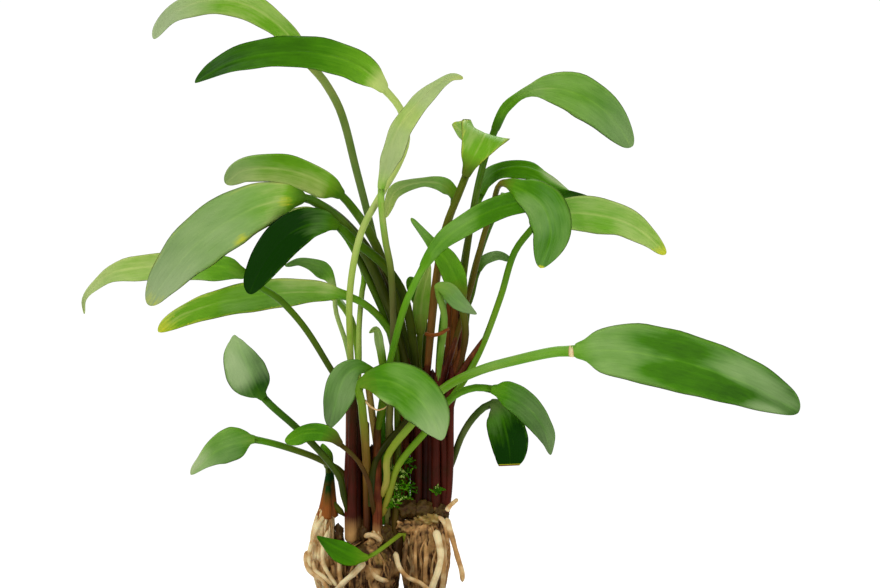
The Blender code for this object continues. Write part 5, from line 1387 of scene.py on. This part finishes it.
def medium_piece(name, finish):
    """The growing medium: a plug of matted fibre, rough and hummocky on top."""
    profile = [(MEDIUM_RADIUS * t, MEDIUM_TOP) for t in evenly(40)] + [(22.0, 30.0), (18.2, 2.2), (0, 2.2)]
    body = spun(profile, 140)
    for vert in body.verts:
        if vert.co.z > 48 * MM:
            place = vert.co / MM
            edge = smooth_step((MEDIUM_RADIUS - math.hypot(place.x, place.y)) / 3)
            hummock = 1.2 * noise.noise(place * 0.16) + 0.7 * noise.noise(place * 0.5)
            hummock += 0.3 * noise.noise(place * 1.6)
            vert.co.z += (0.6 * edge + hummock * (0.35 + 0.65 * edge)) * MM
    return piece_from(name, body, finish)


def fibre_piece(name, finish):
    """Loose fibres that lie on the growing medium and curl over one another."""
    sizes = bpy.context.scene.plant_sizes
    seeded = random.Random(name)
    body = bmesh.new()
    for _ in range(sizes.fibres):
        far = 23.0 * math.sqrt(seeded.random())
        round_pot = seeded.uniform(0, math.tau)
        heading = seeded.uniform(0, math.tau)
        place = Vector((far * math.cos(round_pot), far * math.sin(round_pot), FIBRE_HEIGHT))
        points = []
        for _ in range(5):
            if math.hypot(place.x, place.y) > 23.9:
                break
            ground = FIBRE_HEIGHT + 1.2 * noise.noise(Vector((place.x, place.y, MEDIUM_TOP)) * 0.16)
            points.append(Vector((place.x, place.y, ground + seeded.uniform(-0.2, 0.9))))
            heading += seeded.uniform(-0.8, 0.8)
            place = place + Vector((math.cos(heading), math.sin(heading), 0)) * seeded.uniform(1.2, 2.2)
        if len(points) < 3:
            continue
        width = sizes.fibre / MM / 2 * seeded.uniform(0.6, 1.5)
        centres = at_fractions(smooth_path(points, 3), evenly(8))
        add_strand(body, centres, tapered(9, width, width * 0.6), 5, {})
    return piece_from(name, body, finish)


def moss_piece(name, finish):
    """Tufts of moss caught between the shoots: curling stems set with tiny leaves."""
    seeded = random.Random(name)

    def stray(*ranges):
        return Vector([seeded.uniform(low, high) for low, high in ranges])

    body = body_with(LEAF_VALUES)
    for across, height, depth, reach in TUFTS:
        for _ in range(14):
            start = seen_from_front(across, height, depth)
            start += stray((-0.8, 0.8), (-0.4, 0.8), (-0.8, 0.8))
            aim = stray((-1, 1), (-1, 0.3), (-0.5, 1)).normalized()
            bend = stray((-1, 1), (-0.6, 0.6), (-1, 1)) * 0.5
            points = [
                start + (aim + bend * t) * (reach * t * seeded.uniform(0.8, 1.0)) for t in (0, 0.35, 0.7, 1)]
            tone = seeded.choice((0.1, 0.2, 0.3, 0.45, 0.95))
            values = {"tone": tone, "bloom": 0.0, "ageing": 0.0, "blush": 0.0, "share": 0.3}
            path = smooth_path(points, 4)
            add_strand(body, at_fractions(path, evenly(7)), tapered(8, 0.2, 0.12), 6, values)
            for place in at_fractions(path, [0.2, 0.35, 0.5, 0.65, 0.8, 0.95]):
                tip = place + stray((-1, 1), (-1, 0.4), (-0.6, 1)) * 0.9
                middle = place.lerp(tip, 0.5) + Vector((0, 0, 0.15))
                add_strand(body, [place, place.lerp(middle, 0.6), middle, tip], [0, 0.16, 0.22, 0], 5, values)
    return piece_from(name, body, finish)


def small_sheath_piece(name, finish):
    """The young side shoot on the left crown: a few short orange-brown sheaths with green tops."""
    body = body_with(SHEATH_VALUES)
    for x, y, lean, top, wide in (
        (-18.4, 0.6, 0.9, 90.5, 1.7), (-17.3, 1.6, -0.2, 92, 1.6), (-18.2, -0.8, 0.4, 86.6, 1.5)
    ):
        points = [
            Vector((x - lean * 2, y, 75.5)), Vector((x - lean, y, 79)), Vector((x + lean * 0.3, y, top))]
        centres = at_fractions(smooth_path(points), evenly(14))
        rises = [0.16 + 0.5 * t for t in evenly(14)]
        greening = [2.0 * max(0.0, t - 0.35) for t in evenly(14)]
        values = {"rise": rises, "shade": 0.0, "greening": greening}
        add_strand(body, centres, tapered(15, wide * 1.3, wide * 0.5), 10, values)
    return piece_from(name, body, finish)


def old_sheath_piece(name, finish):
    """Old sheaths that fill the spaces between the shoots, dark and drawn out up the stalks; the darkest, in
    the gaps, are partly painted shade.
    """
    body = body_with(SHEATH_VALUES)
    for route, width, end, shade, greening in OLD_SHEATHS:
        centres, radii = at_fractions(route_path(route), evenly(24)), tapered(25, width / 2, end / 2)
        add_strand(body, centres, radii, 12, {"rise": 0.6, "shade": shade, "greening": greening})
    return piece_from(name, body, finish)


def young_stalk_piece(name, finish):
    """Young stalks and leaf bases that stand between the shoots, from dark green to tan."""
    body = body_with(LEAF_VALUES)
    for route, width, end, tone, blush in YOUNG_STALKS:
        lengths = [Vector((i * 1.6, 0.0, route[0][0])) for i in range(25)]
        centres, radii = at_fractions(route_path(route), evenly(24)), tapered(25, width / 2, end / 2)
        values = {"skin": lengths, "tone": tone, "bloom": -0.1, "ageing": 0.0, "blush": blush, "share": 0.3}
        add_strand(body, centres, radii, 12, values)
    return piece_from(name, body, finish)


def dry_bits_piece(name, finish):
    """A dry fibre caught on the stalks and the pale scar round the stalk of the far right leaf."""
    body = body_with(["age"])
    fibre = [
        (-6.6, 114.2, -13.2), (-5.2, 112.4, -14.4), (-2.6, 110.8, -14.8), (-0.4, 111.2, -14.2),
        (0.4, 111.9, -13.6),
    ]
    add_strand(body, at_fractions(route_path(fibre), evenly(14)), tapered(15, 0.45, 0.16), 7, {"age": 0.3})
    # The scar is a low uneven ring round the stalk's top, palest in its middle
    leaf = LEAVES["leaf_far_right"]
    path = route_path(leaf.stalk[-2:] + leaf.blade[:2])
    centres = at_fractions(path, [0.5 + 0.012 * i for i in range(7)])
    radii = [0, 1.78, 1.92, 1.84, 1.94, 1.8, 0]
    add_strand(body, centres, radii, 16, {"age": [0.5, 0.35, 0.1, 0.0, 0.05, 0.4, 0.5]})
    return piece_from(name, body, finish)


def twig_piece(name, finish):
    """A thin reddish side stem that crosses between two stalks."""
    body = body_with(SHEATH_VALUES)
    path = route_path([(12.6, 135.4, -1.6), (14.6, 134.7, -4), (17.6, 135.2, -8), (20.4, 136.8, -5)])
    values = {"rise": 0.6, "shade": 0.1, "greening": 0.0}
    add_strand(body, at_fractions(path, evenly(12)), tapered(13, 0.75, 0.5), 8, values)
    return piece_from(name, body, finish)


class WATERPLANT_OT_stage(bpy.types.Operator):
    """Lay the floor, set the lights and the camera"""

    bl_idname = "waterplant.stage"
    bl_label = "Stage"

    def execute(self, context):
        scene = context.scene
        settings = scene.stage_settings
        scene.view_settings.view_transform = "Standard"
        body = bmesh.new()
        bmesh.ops.create_circle(body, cap_ends=True, segments=96, radius=settings.floor)
        mesh = bpy.data.meshes.new("floor")
        body.to_mesh(mesh)
        body.free()
        floor = bpy.data.objects.new("floor", mesh)
        scene.collection.objects.link(floor)
        paint, tree, shader = start_material("matt studio floor", 0.9, 0.1)
        place = add(tree, "ShaderNodeTexCoord").outputs["Object"]
        speckle = add(tree, "ShaderNodeTexNoise", {"Vector": place, "Scale": 3.0}).outputs["Fac"]
        speckled = linear("#f0f0ee")
        colour = add(
            tree, "ShaderNodeMix", {0: speckle, 6: settings.ground, 7: speckled}, data_type="RGBA").outputs[2]
        use(tree, shader, colour=colour)
        # Lit from below as a light table is, so it stays nearly as white as the room
        shader.inputs["Emission Color"].default_value = (1, 1, 1, 1)
        shader.inputs["Emission Strength"].default_value = settings.glow
        mesh.materials.append(paint)

        # The room looks white behind the plant and lights it more gently than that
        world = bpy.data.worlds.new("white room")
        scene.world = world
        world.use_nodes = True
        nodes = world.node_tree
        nodes.nodes.clear()
        seen = add(nodes, "ShaderNodeLightPath").outputs["Is Camera Ray"]
        strength = add(
            nodes, "ShaderNodeMapRange", {"Value": seen, 3: settings.sky, 4: 1.05}).outputs["Result"]
        room = add(nodes, "ShaderNodeBackground", {"Color": (1.0, 1.0, 1.0), "Strength": strength}).outputs[0]
        add(nodes, "ShaderNodeOutputWorld", {"Surface": room})

        aim = Vector((0.0, 0.0, 0.14))
        for name, place, wide, power in (
            ("key light", (-0.9, -1.0, 1.3), 0.9, settings.key),
            ("fill light", (1.3, -0.9, 0.7), 0.9, settings.fill),
            ("top light", (0.15, 0.9, 1.4), 1.1, settings.back),
        ):
            lamp = bpy.data.lights.new(name, "AREA")
            lamp.shape = "DISK"
            lamp.size = wide
            lamp.energy = power
            light = bpy.data.objects.new(name, lamp)
            light.location = place
            light.rotation_euler = (aim - Vector(place)).to_track_quat("-Z", "Y").to_euler()
            scene.collection.objects.link(light)

        view = bpy.data.cameras.new("camera")
        view.sensor_width = SENSOR_WIDTH
        view.lens = SENSOR_WIDTH * VIEW_DISTANCE / VIEW_SPAN
        view.clip_end = 50
        camera = bpy.data.objects.new("camera", view)
        camera.location = (VIEW_X * MM, -VIEW_DISTANCE * MM, VIEW_Z * MM)
        camera.rotation_euler = (math.pi / 2, 0, 0)
        scene.collection.objects.link(camera)
        scene.camera = camera
        return {"FINISHED"}


class WATERPLANT_OT_pot(bpy.types.Operator):
    """Make the pot and the growing medium that fills it"""

    bl_idname = "waterplant.pot"
    bl_label = "Pot and growing medium"

    def execute(self, context):
        grow(pot_piece("pot_moulded", pot_plastic("moulded polypropylene")), "pot", "pot")
        grow(medium_piece("growing_medium_matted", damp_fibre("damp coir", 0.0)), "medium", "growing_medium")
        grow(fibre_piece("growing_medium_fibres", damp_fibre("dry coir fibre", 0.3)), "medium")
        return {"FINISHED"}


class WATERPLANT_OT_roots(bpy.types.Operator):
    """Make the crowns, the fine roots that mat them and the thick roots"""

    bl_idname = "waterplant.roots"
    bl_label = "Crowns and roots"

    def execute(self, context):
        finish = root_skin("fleshy root")
        for name, crown in CROWNS.items():
            grow(crown_piece(name, crown, finish), "root", name)
            grow(fine_root_piece(name, crown, finish), "root")
        ages = {
            "root_front_left": 0.02, "root_front_right": 0.22, "root_right_pale": 0.05,
            "root_right_loose": 0.35,
        }
        for name, root in ROOTS.items():
            grow(thick_root_piece(name, root, ages.get(name, 0.3), finish), "root", name)
        for number, (route, width, end, age) in enumerate(FRONT_ROOTS, 1):
            root = Root(route, width, end)
            grow(thick_root_piece(f"front_root_{number}", root, age, finish, embedded=True), "root")
        return {"FINISHED"}


class WATERPLANT_OT_shoots(bpy.types.Operator):
    """Make the sheaths that the leaves rise from"""

    bl_idname = "waterplant.shoots"
    bl_label = "Sheaths"

    def execute(self, context):
        finish = sheath_skin("leaf sheath")
        for name, shoot in SHOOTS.items():
            grow(sheath_piece(name, shoot, finish), "sheath", name)
        grow(small_sheath_piece("side_shoot_sheaths", finish), "sheath")
        grow(old_sheath_piece("old_sheaths", finish), "sheath")
        grow(twig_piece("side_stem", finish), "sheath")
        return {"FINISHED"}


class WATERPLANT_OT_leaves(bpy.types.Operator):
    """Make every leaf with its stalk"""

    bl_idname = "waterplant.leaves"
    bl_label = "Leaves"

    def execute(self, context):
        # The three leaf skins are one skin: the lit one a little lighter, as painted light, and the shaded
        # one a little darker, as painted shade, and less glossy
        finishes = {
            "leaf_light": leaf_skin("lit leaf", 0.04, 0.1, 0.38),
            "leaf_mid": leaf_skin("grown leaf", 0.0, 0.1, 0.38),
            "leaf_dark": leaf_skin("shaded leaf", -0.04, 0.05, 0.36),
        }
        for name, leaf in LEAVES.items():
            grow(leaf_piece(name, leaf, finishes[leaf.slot]), leaf.slot, name)
        grow(young_stalk_piece("young_stalks", finishes["leaf_mid"]), "leaf_mid")
        return {"FINISHED"}


class WATERPLANT_OT_small_growth(bpy.types.Operator):
    """Make the moss between the shoots and the dry bits on the stalks"""

    bl_idname = "waterplant.small_growth"
    bl_label = "Moss and dry bits"

    def execute(self, context):
        grow(moss_piece("moss", leaf_skin("moss leaf", 0.0, 0.05, 0.6)), "leaf_light")
        grow(dry_bits_piece("dry_bits", root_skin("dry scar")), "root")
        return {"FINISHED"}


STEPS = (
    WATERPLANT_OT_stage, WATERPLANT_OT_pot, WATERPLANT_OT_roots, WATERPLANT_OT_shoots, WATERPLANT_OT_leaves,
    WATERPLANT_OT_small_growth,
)


class WATERPLANT_PT_panel(bpy.types.Panel):
    """The plant's settings and the steps that build it"""

    bl_idname = "WATERPLANT_PT_panel"
    bl_label = "Potted cryptocoryne"
    bl_space_type = "VIEW_3D"
    bl_region_type = "UI"
    bl_category = "Water plant"

    def draw(self, context):
        scene = context.scene
        for title, settings in (
            ("Sizes", scene.plant_sizes), ("Colours", scene.plant_colours), ("Stage", scene.stage_settings)
        ):
            box = self.layout.box()
            box.label(text=title)
            for key in settings.bl_rna.properties.keys():
                if key not in ("rna_type", "name"):
                    box.prop(settings, key)
        for step in STEPS:
            self.layout.operator(step.bl_idname)


CLASSES = (PlantSizes, PlantColours, StageSettings, *STEPS, WATERPLANT_PT_panel)


def register():
    for item in CLASSES:
        bpy.utils.register_class(item)
    bpy.types.Scene.plant_sizes = PointerProperty(type=PlantSizes)
    bpy.types.Scene.plant_colours = PointerProperty(type=PlantColours)
    bpy.types.Scene.stage_settings = PointerProperty(type=StageSettings)


def unregister():
    del bpy.types.Scene.stage_settings
    del bpy.types.Scene.plant_colours
    del bpy.types.Scene.plant_sizes
    for item in reversed(CLASSES):
        bpy.utils.unregister_class(item)


def main():
    register()
    bpy.ops.waterplant.stage()
    bpy.ops.waterplant.pot()
    bpy.ops.waterplant.roots()
    bpy.ops.waterplant.shoots()
    bpy.ops.waterplant.leaves()
    bpy.ops.waterplant.small_growth()


if __name__ == "__main__":
    main()
